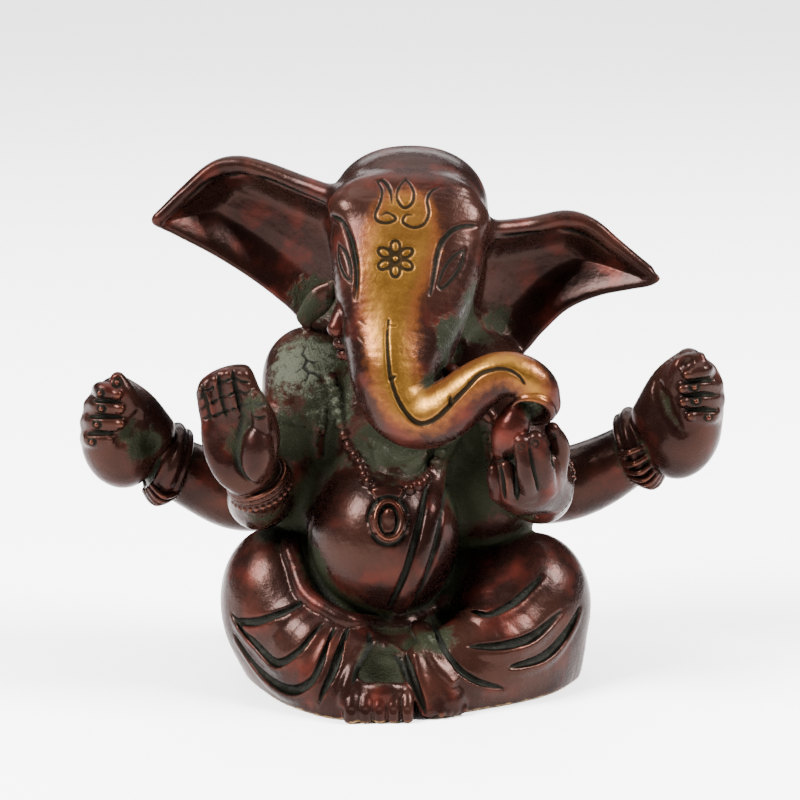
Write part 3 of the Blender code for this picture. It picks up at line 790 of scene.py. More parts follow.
def necklace():
    """Round beads on a string, in front and behind."""
    front = [
        (-11.8, -6.2, 55.5), (-11.0, -6.3, 53.4), (-10.6, -6.4, 50.7), (-10.1, -6.7, 48.0),
        (-9.6, -7.0, 46.1), (-8.8, -7.3, 44.0), (-7.6, -8.2, 42.3), (-6.5, -10.5, 41.1),
        (-5.6, -14.4, 39.7), (-3.8, -16.7, 38.4), (-1.2, -17.2, 38.0), (1.3, -16.3, 38.0),
        (3.6, -13.9, 38.4), (5.4, -9.2, 39.1), (6.8, -6.8, 40.7), (8.4, -7.4, 45.0),
        (9.6, -7.2, 50.0),
    ]
    behind = [
        (15.0, 58.0), (10.0, 56.0), (5.0, 55.0), (0.0, 54.5), (-5.0, 55.0), (-10.0, 56.0), (-15.0, 58.0),
    ]
    spots = list(clay.faced(front))
    for x, z in behind:
        spots.append(clay.struck((x, BEHIND, z), (x, 2.0, z)))
    line = smooth_line(spots, 10)
    strokes = [(Limb(wire(line[::3], 0.45)), 0)]
    for bead in spaced(line, 2.05):
        strokes.append((Ball(bead, (1.1, 1.1, 1.1)), 0.2))
    return strokes


def collar():
    """A crescent plate under the trunk."""
    route = [
        (-4.6, -8.2, 44.6), (-3.5, -9.1, 43.3), (-2.6, -10.8, 41.7), (-1.0, -12.2, 40.9),
        (1.1, -11.7, 40.6), (3.1, -9.6, 40.9), (4.6, -8.0, 42.4),
    ]
    spots = clay.faced(route)
    up = clay.outward(spots)
    wide = [0.6, 1.2, 1.7, 2.0, 1.7, 1.2, 0.6]
    rows = np.column_stack([spots, wide, np.full(len(spots), 0.9), up])
    return [(Loft(rows), 0)]


def pendant_place():
    """The pendant's centre on the belly, and its outward, sideways and upward directions."""
    centre = clay.faced([(-1.6, -20.0, 33.4)])[0]
    up = clay.outward([centre])[0]
    across = np.cross(up, (0, 0, 1))
    across /= np.linalg.norm(across)
    return centre, up, across, np.cross(across, up)


def pendant():
    """A domed oval plate under a flared loop; its rings are engraved later."""
    centre, up, across, rise = pendant_place()
    plate = [(*(centre - rise * 1.6), 3.5, 0.95, *up), (*(centre + rise * 0.8), 3.5, 0.95, *up)]
    flare = [(*(centre + rise * 3.8), 2.0, 0.9, *up), (*(centre + rise * 5.4), 2.9, 0.8, *up)]
    return [
        (Loft(plate), 0),
        (Loft(flare), 0.8),
        (Limb(wire(oval(centre + up * 0.75, across * 2.3, rise * 3.3, 24), 0.5), 1), 0.4),
        (Ball(centre + up * 0.5, (1.2, 1.0, 2.2)), 0.5),
    ]


def beaded_ring(centre, axis, radius, count, size):
    """Two thin wires round a wrist, and a row of fine beads below them."""
    axis = Vector(axis).normalized()
    side = Vector(centre).cross(axis).normalized()
    other = axis.cross(side)
    middle = Vector(centre)
    strokes = [(Torus(middle + axis * shift, axis, radius - 0.1, 0.42), 0.2) for shift in (0.5, 1.5)]
    strokes.append((Torus(middle, axis, radius - 0.9, 0.9, 1.6), 0))
    for k in range(count):
        turn = 2 * math.pi * k / count
        spot = middle - axis * 0.9 + (side * math.cos(turn) + other * math.sin(turn)) * radius
        strokes.append((Ball(spot, (size, size, size)), 0.25))
    return strokes


def ribbed_ring(centre, axis, radius, knot, turns):
    """A wide ridged strap with a knot on one side, and ribs at some turns from the knot."""
    axis = Vector(axis).normalized()
    middle = Vector(centre)
    toward = Vector(knot) - axis * Vector(knot).dot(axis)
    toward.normalize()
    tangent = axis.cross(toward)
    strokes = [
        (Torus(middle, axis, radius - 0.7, 1.3, 1.9), 0),
        (Torus(middle, axis, radius + 0.3, 0.75), 0.8),
        (Torus(middle + axis * 2.0, axis, radius - 0.2, 0.6), 0.4),
        (Torus(middle - axis * 2.0, axis, radius - 0.2, 0.6), 0.4),
        (Ball(middle + toward * (radius - 0.2), (2.4, 2.2, 2.2)), 0.8),
    ]
    for turn in turns:
        out = toward * math.cos(turn) + tangent * math.sin(turn)
        rib = [(*(middle + out * (radius + rise) + axis * side), 0.55)
               for side, rise in ((-2.4, 0.2), (-1.2, 1.3), (0.0, 1.9), (1.2, 1.3), (2.4, 0.2))]
        strokes.append((Limb(rib, 3), 0.2))
    return strokes


def right_front_bracelet():
    return beaded_ring((-24.2, -15.2, 39.0), (-0.40, -0.55, 1.0), 5.5, 30, 0.6)


def left_front_bracelet():
    return beaded_ring((25.4, -16.6, 39.4), (-0.75, -0.75, 0.55), 5.8, 30, 0.6)


def right_rear_bracelet():
    return ribbed_ring((-42.3, 8.4, 37.4), (-0.93, -0.25, 0.36), 6.3, (-0.3, -0.6, -1.0),
                       (-0.4, -0.2, 0.0, 0.2, 0.4))


def left_rear_bracelet():
    return ribbed_ring((44.4, 8.4, 40.4), (0.93, -0.25, 0.40), 6.3, (0.3, -0.6, -1.0),
                       (0.4, 0.2, 0.0, -0.2, -0.42, -0.66, -0.92, -1.2))


def armlet(centre, axis, plate):
    """A band round an upper arm, and an engraved plate hanging from it."""
    strokes = [(Torus(centre, axis, 6.3, 0.8, 1.5), 0)]
    spots = clay.onto(plate)
    up = clay.outward(spots)
    wide = [1.6, 1.5, 1.3, 0.8]
    strokes.append((Loft(np.column_stack([spots, wide, np.full(4, 0.9), up]), power=3.0), 0.3))
    strokes.append((Torus(spots[1] + up[1] * 0.9, up[1], 0.75, 0.32), 0.15))
    return strokes


def right_armlet():
    return armlet((-18.6, -2.0, 48.0), (-0.3, -0.15, -1.0),
                  [(-14.4, -6.6, 49.8), (-14.3, -6.7, 47.0), (-14.0, -6.8, 44.4), (-13.6, -6.6, 41.8)])


def left_armlet():
    return armlet((20.8, -2.2, 47.4), (0.5, -0.15, -1.0),
                  [(16.4, -6.4, 48.6), (16.8, -6.6, 46.0), (17.2, -6.6, 43.4), (17.6, -6.4, 41.0)])


# Each node is named after the function that gives its strokes; the number is the fillet
# where it meets the rest
BASE = [
    (torso, 0), (seat, 3), (right_leg, 1.6), (left_leg, 1.6), (head, 2.5), (right_ear, 2.5),
    (left_ear, 2.5), (trunk, 2.5), (right_rear_arm, 3), (left_rear_arm, 3), (right_front_arm, 2.0),
    (left_front_arm, 2.0), (right_front_hand, 0.8), (left_front_hand, 0.8), (right_rear_hand, 1.0),
    (left_rear_hand, 1.0), (right_foot, 0.7), (left_foot, 0.7), (right_tusk, 0.4), (left_tusk, 0.4),
    (sweet, 0.4),
]
ORNAMENTS = [
    (waist_sash, 0.5), (sacred_thread, 0.3), (collar, 0.3), (necklace, 0.3), (pendant, 0.3),
    (right_front_bracelet, 0.3), (left_front_bracelet, 0.3), (right_rear_bracelet, 0.4),
    (left_rear_bracelet, 0.4), (right_armlet, 0.3), (left_armlet, 0.3),
]
NAMES = [strokes.__name__ for strokes, soft in BASE + ORNAMENTS]
# The nodes that aren't red_lacquer
SLOTS = {
    "trunk": "polished_gold",
    "right_tusk": "worn_copper",
    "left_tusk": "worn_copper",
    "sweet": "worn_copper",
    "pendant": "worn_copper",
    "collar": "green_patina",
}


# ---------------------------------------------------------------- chased and engraved detail

# Engraved lines: a route near the skin and the width of the cut
BROW_LINES = [
    [(-11.6, -8.0, 85.1), (-9.8, -10.2, 84.5), (-8.3, -11.2, 81.9), (-7.4, -12.6, 78.6), (-7.0, -13.6, 75.3),
     (-7.2, -15.1, 71.5)],
    [(13.6, -9.5, 83.5), (11.5, -11.4, 83.8), (9.4, -12.6, 83.2), (7.6, -13.9, 81.4), (6.7, -15.3, 78.9),
     (6.2, -17.0, 76.0), (5.6, -19.0, 73.0)],
]
EYE_LINES = [
    [(11.6, -10.0, 79.3), (9.6, -12.0, 78.4), (8.0, -14.0, 76.6), (6.9, -16.6, 74.2)],
    [(11.6, -10.0, 79.3), (11.0, -11.0, 76.8), (9.4, -13.0, 74.6), (7.6, -15.4, 73.4), (6.9, -16.6, 74.2)],
    [(-10.4, -9.6, 80.4), (-9.0, -11.4, 79.0), (-8.2, -12.8, 76.8), (-8.0, -14.4, 74.4)],
    [(-10.4, -9.6, 80.4), (-10.3, -10.6, 77.6), (-9.4, -12.4, 75.4), (-8.0, -14.4, 74.4)],
]
TRIDENT_LINES = [
    [(1.3, -9.7, 92.0), (0.1, -11.1, 90.4), (-0.1, -12.3, 88.8), (1.1, -13.4, 87.4), (2.5, -12.7, 88.2),
     (2.8, -11.5, 89.8), (2.1, -10.5, 91.2), (1.3, -9.7, 92.0)],
    [(-3.6, -9.1, 91.4), (-2.5, -9.3, 91.6), (-1.3, -11.2, 90.1), (-1.0, -12.8, 88.0)],
    [(-3.6, -9.1, 91.4), (-2.7, -10.8, 90.0), (-3.1, -12.2, 88.0), (-3.9, -12.9, 86.1), (-3.4, -13.9, 85.1),
     (-1.7, -14.9, 85.0), (-0.3, -14.7, 85.7), (-1.7, -13.7, 86.6), (-3.0, -13.4, 86.0)],
    [(7.3, -8.8, 90.3), (5.8, -10.3, 89.8), (5.1, -11.6, 88.4), (5.4, -12.6, 86.3), (4.5, -14.2, 84.6),
     (2.6, -15.5, 84.3), (0.9, -15.2, 85.2), (1.4, -14.3, 86.3), (2.6, -14.0, 86.3)],
]
TRUNK_ENGRAVING = [
    (-1.5, -23.2, 69.8), (-1.8, -24.3, 67.0), (-1.6, -25.8, 63.0), (-1.1, -26.7, 59.7), (0.1, -27.5, 56.4),
    (1.8, -28.4, 53.9), (3.8, -28.8, 52.6), (6.1, -29.5, 53.4), (8.2, -30.0, 55.4), (9.3, -30.2, 56.7),
    (11.5, -30.3, 59.1), (13.8, -30.1, 61.5), (16.2, -30.2, 62.3), (18.2, -30.3, 62.4), (20.2, -30.5, 61.4),
    (21.4, -30.4, 59.8),
]
TRUNK_SPURS = [[(-1.2, -26.7, 59.9), (-0.3, -26.9, 60.5)], [(9.0, -30.2, 56.2), (8.8, -30.0, 57.6)]]
# The gaps between the right front hand's fingers, and its two edges: x and z down each
FINGER_GAPS = [
    [(-34.3, 55.8), (-34.0, 53.6), (-33.6, 51.2)], [(-33.6, 57.7), (-32.9, 54.6), (-32.2, 51.4)],
    [(-30.8, 59.6), (-30.2, 55.8), (-29.4, 52.0)], [(-28.4, 60.4), (-27.7, 56.8), (-26.9, 53.0)],
    [(-25.5, 59.0), (-25.0, 56.6), (-25.2, 53.8)],
]
# The gilded stretch: a route down the forehead and trunk, with its half width
GILT_LINE = [
    (1.3, -14.4, 86.2, 4.4), (0.7, -16.7, 83.1, 5.6), (-0.3, -19.0, 79.1, 5.4), (-1.3, -21.2, 74.3, 4.4),
    (-1.5, -23.3, 69.5, 3.9), (-1.0, -25.2, 64.6, 3.5), (-0.1, -26.6, 59.7, 3.6), (2.3, -27.3, 56.4, 4.0),
    (4.6, -28.3, 55.7, 3.6), (7.2, -29.0, 57.3, 3.0), (9.7, -29.4, 59.4, 2.6), (12.2, -29.6, 61.2, 2.5),
    (15.5, -29.4, 63.2, 2.6), (18.9, -29.5, 63.4, 2.6), (21.7, -30.2, 61.3, 2.2), (23.3, -30.1, 58.7, 1.6),
]
# Folds of the draped cloth: a route, the fold's width, and the swell of cloth under it
FOLDS = [
    ([(-15.5, -18.4, 18.6), (-19.8, -18.1, 16.3), (-24.9, -16.1, 13.9), (-29.1, -11.1, 12.7)], 0.8, 1.5),
    ([(-13.2, -21.8, 15.2), (-17.1, -23.3, 10.9), (-21.2, -20.2, 7.6), (-25.3, -16.2, 10.0),
      (-29.6, -10.2, 13.6)], 0.7, 1.1),
    ([(-11.1, -22.7, 14.6), (-13.7, -25.1, 8.4), (-15.9, -23.2, 4.7), (-19.5, -20.0, 3.0),
      (-25.0, -15.0, 5.0), (-29.2, -9.5, 9.5)], 0.8, 1.2),
    ([(-8.7, -22.7, 14.6), (-11.1, -25.9, 8.3), (-13.6, -25.6, 2.6)], 0.8, 0.9),
    ([(-5.0, -22.3, 13.8), (-5.0, -24.7, 11.3), (-6.7, -26.0, 8.7), (-9.4, -26.2, 3.9)], 0.7, 0.0),
    ([(-4.1, -24.7, 10.6), (-0.6, -24.7, 9.8), (2.0, -26.2, 6.6), (4.6, -27.0, 1.6)], 0.6, 0.0),
    ([(5.6, -12.9, 14.1), (10.3, -15.2, 15.1), (15.1, -18.5, 15.8), (19.4, -17.7, 17.1), (23.1, -14.9, 19.4),
      (25.5, -12.4, 21.2)], 0.8, 1.5),
    ([(12.6, -20.5, 11.0), (18.3, -20.8, 11.1), (23.8, -18.4, 12.0), (29.0, -13.5, 15.0)], 0.8, 1.2),
    ([(19.8, -19.6, 7.0), (25.7, -16.9, 7.8), (29.5, -13.6, 10.4), (32.6, -9.0, 14.6)], 0.8, 1.1),
    ([(5.9, -12.7, 14.0), (7.5, -19.5, 11.4), (10.2, -22.6, 8.0), (13.8, -22.2, 5.2),
      (18.5, -20.0, 3.2)], 0.6, 0.9),
]
# The same cloth behind: routes of x and z on the back
BACK_FOLDS = [
    [(-24.0, 21.0), (-14.0, 14.0), (-3.0, 10.6), (9.0, 12.0), (20.0, 17.6)],
    [(-27.0, 14.0), (-16.0, 8.0), (-3.0, 5.4), (11.0, 6.2), (25.0, 12.6)],
    [(-20.0, 24.0), (-10.0, 18.4), (-1.0, 16.4), (8.0, 17.4), (16.0, 21.0)],
    [(1.6, 60.0), (1.0, 54.0), (0.2, 46.0), (0.0, 38.0), (0.2, 31.0)],
]
FLANK_FOLDS = [
    [(12.0, 19.0), (4.0, 13.0), (-4.0, 12.0)],
    [(12.0, 11.0), (4.0, 7.0), (-3.0, 6.0)],
]


def cut_line(spots, radius, soft):
    """Cuts a line through spots on the skin; it thins out at both ends."""
    clay.carve(Limb(tapered(smooth_line(spots, 4), radius), 1), soft)


def groove(route, radius, soft):
    """Cuts a line along a route seen from the front."""
    cut_line(clay.faced(route), radius, soft)


def engrave(route, radius, soft, per_span=1):
    """Cuts a line of one width along a route seen from the front."""
    clay.carve(Limb(wire(clay.faced(route), radius), per_span), soft)


def fold(spots, width, swell):
    """A fold in cloth: a soft roll with a deep crease above it."""
    line = smooth_line(spots, 4)
    if swell:
        below = clay.onto(line - (0, 0, width * 1.5))
        clay.swell(Limb(tapered(below - clay.outward(below) * (swell * 0.62), swell, 0.3), 1), 1.0)
    clay.carve(Limb(tapered(line, width, 0.3), 1), 0.5)


def head_detail():
    """Brow, eye and ornament lines, the rosette, the trunk's engraving and wrinkles beside it."""
    for route in BROW_LINES:
        groove(route, 0.46, 0.5)
    for route in EYE_LINES:
        groove(route, 0.28, 0.35)
    for route in TRIDENT_LINES:
        groove(route, 0.29, 0.25)
    centre = clay.faced([(-0.4, -18.8, 79.4)])[0]
    up = clay.outward([centre])[0]
    rise = np.cross((1, 0, 0), up)
    across = np.cross(up, rise)
    for petal in range(6):
        turn = math.radians(60 * petal + 30)
        out = across * math.cos(turn) + rise * math.sin(turn)
        aside = np.cross(up, out)
        loop = [centre + out * (2.2 - 1.15 * math.cos(t)) + aside * 0.8 * math.sin(t)
                for t in np.linspace(0, 2 * math.pi, 11)]
        engrave(loop, 0.28, 0.2, 2)
    engrave(oval(centre, across * 0.8, rise * 0.8, 10), 0.3, 0.2, 2)
    groove(TRUNK_ENGRAVING, 0.44, 0.25)
    for route in TRUNK_SPURS:
        clay.carve(Limb(np.column_stack([clay.faced(route), [0.36, 0.2]]), 1), 0.25)
    for k in range(5):
        outer = (-6.6 - 0.1 * k, -16.0 - 1.6 * k, 68.0 - 2.6 * k)
        inner = (-(5.4 + 0.5 * k), -17.6 - 1.6 * k, 67.4 - 2.6 * k)
        groove([outer, inner], 0.2, 0.2)


def hand_detail():
    """The front hands' finger gaps, creases and nails."""
    gaps = [smooth_line([(x, -21.0, z) for x, z in gap]) for gap in FINGER_GAPS]
    for gap in gaps[1:-1]:
        groove(gap[::3], 0.36, 0.3)
    for left, right in zip(gaps, gaps[1:]):
        for a, b in zip(left[2::4], right[2::4]):
            groove([a, (a + b) / 2 - (0, 0, 0.45), b], 0.22, 0.25)
    palm_line = [(-26.6, 52.6), (-27.3, 49.4), (-27.8, 45.8), (-27.0, 42.8), (-25.4, 40.8)]
    groove([(x, -22, z) for x, z in palm_line], 0.48, 0.6)
    hollow = clay.faced([(-29.9, -21.8, 48.4)])[0]
    clay.dent(Ball(hollow + (0, -1.2, 0), (2.4, 1.8, 3.4), (0, -10, 0)), 1.6)
    for z in (54.6, 52.4):
        groove([(-24.8, -22, z), (-23.6, -22, z - 0.3), (-22.6, -22, z + 0.2)], 0.22, 0.25)
    for a, b in (((22.3, -29, 48.4), (24.0, -27, 40.8)), ((19.9, -28, 46.2), (20.4, -27, 39.0)),
                 ((17.4, -27, 44.8), (18.2, -26, 38.9)), ((26.0, -28, 48.0), (26.6, -26, 44.6))):
        groove([a, np.add(a, b) / 2, b], 0.5, 0.3)
    for x, z in ((20.9, 48.8), (23.3, 49.4), (26.4, 50.4)):
        engrave(oval((x, -29.6, z), (0.55, 0, 0), (0, 0, 0.6), 10), 0.13, 0.15)


def fist_detail(side, fingers, nails):
    """The gaps between curled fingers, their lumpy inner ends, and their nails."""
    for upper, lower in zip(fingers, fingers[1:]):
        spots = [((a[0] + b[0]) / 2, y, (a[1] + b[1]) / 2)
                 for a, b, y in zip(upper, lower, (-1.0, -4.0, -4.4))]
        spots[2] = (spots[2][0] - side * 0.9, -4.4, spots[2][2])
        groove(spots, 0.42, 0.4)
    for *_, inner in fingers:
        end = clay.faced([(inner[0] - side * 0.6, -4.0, inner[1])])[0]
        clay.swell(Ball(end, (0.8, 0.55, 0.75)), 0.5)
    for x, z in nails:
        spot = clay.faced([(x, -4.0, z)])[0]
        clay.carve(Torus(spot, clay.outward([spot])[0], 0.8, 0.22), 0.2)
        clay.swell(Ball(spot, (0.5, 0.45, 0.5)), 0.25)


def fists():
    """The rear hands' fingers, and the hollows and creases of their wrists and thumbs."""
    right_nails = [(-53.2, 52.7), (-53.0, 49.8), (-53.9, 46.9), (-54.9, 43.7), (-50.2, 54.6)]
    left_nails = [(52.9, 53.7), (53.3, 51.2), (55.6, 48.2)]
    fist_detail(-1, RIGHT_FINGERS, right_nails)
    fist_detail(1, LEFT_FINGERS, left_nails)
    hollow = clay.faced([(-44.6, 0.0, 42.4), (51.6, -2.0, 57.8)])
    clay.dent(Ball(hollow[0], (1.2, 1.5, 1.6)), 1.4)
    clay.dent(Ball(hollow[1], (1.0, 1.1, 1.4), (0, 35, 0)), 0.8)
    for route in ([(46.6, -1.0, 53.8), (47.4, -2.0, 51.6), (48.8, -3.0, 48.4), (50.8, -3.0, 45.4)],
                  [(-46.6, -2.0, 48.4), (-48.4, -3.0, 45.4), (-50.6, -3.0, 43.4)]):
        clay.dent(Limb(tapered(smooth_line(clay.faced(route), 4), 0.8, 0.3), 1), 1.6)


def foot_detail():
    """The right foot's toe nails, and the crease along the left foot."""
    for toe in range(TOES):
        nail = clay.faced([(toe_place(toe), -31.0, 2.6)])[0]
        clay.dent(Ball(nail - (0, 0.35, 0), (0.75, 0.6, 0.7)), 0.2)
    groove([(1.4, -25.0, 10.6), (3.0, -26.6, 6.4), (4.8, -28.0, 1.0)], 0.6, 0.5)


def body_detail():
    """The crease under the belly, the thread's edges, and the shoulder blades."""
    groove([(-15.2, -11.5, 31.3), (-15.6, -11.8, 25.9), (-13.8, -13.9, 20.0), (-9.3, -17.6, 16.6),
            (-4.0, -17.4, 15.4)], 0.8, 0.8)
    for x in (-1.9, 2.1):
        edge = [
            (0.4 + x, -16.4, 16.8), (1.6 + x, -18.6, 19.8), (3.2 + x, -19.8, 23.9),
            (4.8 + x, -19.2, 29.2), (6.0 + x * 0.9, -15.8, 34.4), (6.9 + x * 0.9, -11.5, 37.8),
        ]
        groove(edge, 0.55, 0.6)
    for x in (-1, 1):
        spot = clay.struck((1.0 + x * 9.0, BEHIND, 50.0), (1.0 + x * 7.0, 0.0, 50.0))
        clay.swell(Ball(spot - (0, 1.6, 0), (6.0, 2.2, 5.4), (0, x * 20, 0)), 2.0)


def pendant_detail():
    """The two rings cut into the pendant."""
    centre, _, across, rise = pendant_place()
    for wide, tall, size in ((3.5, 4.3, 0.3), (1.5, 2.5, 0.26)):
        engrave(oval(centre, across * wide, rise * tall, 28), size, 0.2)


def hem_detail():
    """The cloth's edge arched over the right foot, with the instep sunk under it."""
    sunk = clay.faced([(-2.6, -25.0, 9.2)])[0]
    clay.dent(Ball(sunk + (0, -0.6, -0.4), (4.4, 2.2, 4.6)), 2.0)
    for route in ([(-9.6, -27.0, 2.6), (-8.6, -27.0, 6.6), (-6.4, -26.0, 10.4), (-4.4, -25.0, 12.6)],
                  [(-2.2, -25.0, 12.4), (0.6, -26.0, 10.4), (2.4, -27.0, 6.2), (4.6, -28.0, 1.2)]):
        line = smooth_line(clay.faced(route), 4)
        clay.swell(Limb(tapered(line, 1.0, 0.6), 1), 0.8)


def cloth_detail():
    """The folds in front, behind and on both flanks."""
    for route, width, swell in FOLDS:
        fold(clay.faced(route), width, swell)
    for route in BACK_FOLDS:
        swell = 0.9 * (route[0][1] < 50)
        fold([clay.struck((x, FAR_BEHIND, z), (x, 0.0, z)) for x, z in route], 0.65, swell)
    for side in (-1, 1):
        for route in FLANK_FOLDS:
            fold([clay.struck((side * 60.0, y, z), (0.0, y, z)) for y, z in route], 0.7, 1.0)


def crack_detail():
    """Cracks in the crust on the right shoulder: a route of x and z each."""
    cracks = [
        [(-16.4, 61.8), (-16.9, 60.4), (-16.0, 59.4), (-16.6, 58.0), (-15.7, 57.0), (-16.2, 55.4)],
        [(-16.0, 59.4), (-14.9, 58.8), (-14.2, 59.2)],
        [(-15.7, 57.0), (-14.5, 56.8), (-13.7, 56.0)],
        [(-16.6, 58.0), (-17.8, 57.2)],
    ]
    for route in cracks:
        spots = clay.faced([(x, -7.0, z) for x, z in route])
        clay.carve(Limb(tapered(spots, 0.26, 0.4), 1), 0.15)


def ear_detail():
    """The step inside each rolled rim, and ribs behind."""
    right = [
        (-13.0, 3.0, 85.4), (-18.0, 5.4, 87.2), (-24.0, 8.0, 89.2), (-29.0, 9.4, 90.0),
        (-33.4, 9.2, 88.8), (-37.6, 7.6, 85.6),
    ]
    left = [
        (16.0, 2.6, 79.2), (20.0, 5.2, 79.3), (25.0, 8.0, 79.4), (30.4, 9.4, 80.0),
        (34.6, 9.2, 78.6), (38.8, 7.4, 75.6),
    ]
    for route in (right, left):
        groove(route, 0.45, 0.6)
    for side, tops in ((-1, 84.0), (1, 76.0)):
        for k in range(2):
            z = tops - 6.0 * k
            xs = [side * (18.0 + 8.0 * k) + side * t for t in (-4.0, 0.0, 4.0, 8.0)]
            cut_line([clay.struck((x, FAR_BEHIND, z), (x, -8.0, z)) for x in xs], 0.5, 0.9)


# Where green grows: a spot, its reach, and how pale it gets
DAMP = [
    ((-17.4, -4.0, 57.0), 7.5, 1.0), ((-13.6, -5.0, 60.6), 5.5, 0.8), ((-12.5, -6.0, 51.0), 6.5, 0.5),
    ((-19.0, -7.0, 46.0), 6.5, 0.2), ((0.5, -9.0, 45.5), 9.0, 0.2), ((10.0, -7.0, 46.0), 9.0, 0.1),
    ((13.5, -6.0, 36.0), 8.0, 0.0), ((-8.0, -4.0, 68.5), 7.0, 0.3), ((9.5, -6.0, 65.5), 6.0, 0.1),
    ((-8.5, -2.0, 77.0), 5.0, 0.1), ((10.5, -23.0, 50.0), 5.5, 0.5), ((-2.6, -26.0, 9.5), 5.5, 0.1),
    ((6.5, -22.0, 12.0), 5.0, 0.3), ((-13.0, -13.0, 24.0), 5.5, 0.0), ((-24.5, -21.0, 54.5), 3.0, 0.3),
    ((11.0, -12.5, 70.5), 6.0, 0.3), ((9.0, -18.0, 65.0), 5.5, 0.3), ((26.0, -27.0, 47.6), 2.2, 0.4),
    ((22.4, -26.5, 55.0), 3.0, 0.5), ((-46.0, -1.0, 43.0), 4.5, 0.0), ((-22.0, -3.0, 40.0), 6.0, 0.0),
    ((-24.0, -13.0, 34.5), 4.5, 0.1), ((-13.5, 1.0, 77.0), 6.5, 0.1), ((-16.0, 1.0, 68.0), 5.0, 0.0),
    ((15.5, 1.0, 75.0), 6.0, 0.1), ((15.0, 0.0, 65.0), 6.0, 0.1), ((21.0, -14.0, 36.0), 6.0, 0.1),
    ((0.0, 22.0, 60.0), 9.0, 0.1), ((0.0, 20.0, 24.0), 11.0, 0.0), ((-14.0, 12.0, 66.0), 8.0, 0.2),
    ((15.0, 12.0, 62.0), 8.0, 0.1),
]


# ---------------------------------------------------------------- parting and meshing

# What the gilt attribute holds far away from any gilding
NO_GILT = -9.0


def shape_mesh(name, points, quads, triangles):
    """A mesh from vertex rows and face rows."""
    mesh = bpy.data.meshes.new(name)
    corners = np.concatenate([quads.ravel(), triangles.ravel()]).astype(np.int32)
    sizes = np.concatenate([np.full(len(quads), 4), np.full(len(triangles), 3)])
    mesh.vertices.add(len(points))
    mesh.vertices.foreach_set("co", points.astype(np.float32).ravel())
    mesh.loops.add(len(corners))
    mesh.loops.foreach_set("vertex_index", corners)
    mesh.polygons.add(len(sizes))
    mesh.polygons.foreach_set("loop_start", np.concatenate([[0], np.cumsum(sizes)[:-1]]).astype(np.int32))
    mesh.update(calc_edges=True)
    return mesh


def sharpen(block, skin, wall, points):
    """Draws the edge between skin and seam wall onto both."""
    close = 0.8 * STEP
    edge = (np.abs(block.sample(skin, points)) < close) & (np.abs(block.sample(wall, points)) < close)
    spots = points[edge]
    for _ in range(3):
        a, b = block.slope(skin, spots), block.slope(wall, spots)
        fa, fb = block.sample(skin, spots), block.sample(wall, spots)
        aa, bb, ab = (a * a).sum(1), (b * b).sum(1), (a * b).sum(1)
        det = np.maximum(aa * bb - ab * ab, 0.08)
        move = a * ((bb * fa - ab * fb) / det)[:, None] + b * ((aa * fb - ab * fa) / det)[:, None]
        spots = spots - np.clip(move, -0.4 * STEP, 0.4 * STEP)
    points[edge] = spots


def gilt_at(points):
    """How far inside the gilded stretch each point lies."""
    best = np.full(len(points), NO_GILT)
    line = smooth_line(GILT_ROUTE, 4)
    for a, b in zip(line, line[1:]):
        run = b[:3] - a[:3]
        part = np.clip((points - a[:3]) @ run / max(run @ run, 1e-9), 0, 1)
        away = np.linalg.norm(points - a[:3] - part[:, None] * run, axis=1)
        best = np.maximum(best, a[3] + part * (b[3] - a[3]) - away)
    return best


def damp_at(points):
    """How much green grows at each point, and how pale it is."""
    damp = np.zeros(len(points))
    pale = np.zeros(len(points))
    for spot, reach, paleness in DAMP:
        share = np.clip(1.2 - np.linalg.norm(points - spot, axis=1) / reach, 0, 1)
        damp = np.maximum(damp, share)
        pale = np.maximum(pale, share * paleness)
    return damp, pale


def store(mesh, name, values):
    """One number a vertex, for the materials to read."""
    mesh.attributes.new(name, "FLOAT", "POINT").data.foreach_set("value", values.astype(np.float32))


def make_piece(name, number):
    """The closed mesh of a node: the figure's skin, cut half way to its neighbours."""
    mine = (clay.owner == number) & (clay.skin < STEP)
    spots = [np.flatnonzero(mine.any(axis=tuple(k for k in range(3) if k != axis))) for axis in range(3)]
    low = np.array([max(row[0] - 3, 0) for row in spots])
    high = np.array([min(row[-1] + 4, size) for row, size in zip(spots, mine.shape)])
    part = tuple(slice(a, b) for a, b in zip(low, high))
    block = Block(low + clay.block.start, high + clay.block.start, STEP)
    skin = clay.skin[part]
    near, second = clay.near[part], clay.second[part]
    wall = np.where(clay.owner[part] == number, near - second, second - near) / 2
    grid = openvdb.FloatGrid(background=float(FAR))
    grid.copyFromArray(np.maximum(skin, wall).astype(np.float32))
    points, triangles, quads = grid.convertToPolygons(isovalue=0.0, adaptivity=0.0)
    points = (points.astype(float) + block.start) * STEP
    sharpen(block, skin, wall, points)
    mesh = shape_mesh(name + "_cast", to_frame(points), quads, triangles)
    store(mesh, "crest", clay.block.sample(FINE, points))
    store(mesh, "shelter", read_field(BROAD, (points / STEP - clay.block.start) / COARSE))
    store(mesh, "cut", block.sample(np.minimum(clay.tool[part], REACH), points))
    damp, pale = damp_at(points)
    store(mesh, "damp", damp)
    store(mesh, "pale", pale)
    gilded = name in ("head", "trunk")
    store(mesh, "gilt", gilt_at(points) if gilded else np.full(len(points), NO_GILT))
    # Points well under the skin lie on a seam wall, and face its way
    normals = block.slope(skin, points)
    on_wall = block.sample(skin, points) < -0.35 * STEP
    normals[on_wall] = block.slope(wall, points[on_wall])
    normals /= np.maximum(np.linalg.norm(normals, axis=1, keepdims=True), 1e-6)
    mesh.shade_smooth()
    mesh.normals_split_custom_set_from_vertices(normals.tolist())
    piece = bpy.data.objects.new(name + "_cast", mesh)
    bpy.context.scene.collection.objects.link(piece)
    return piece


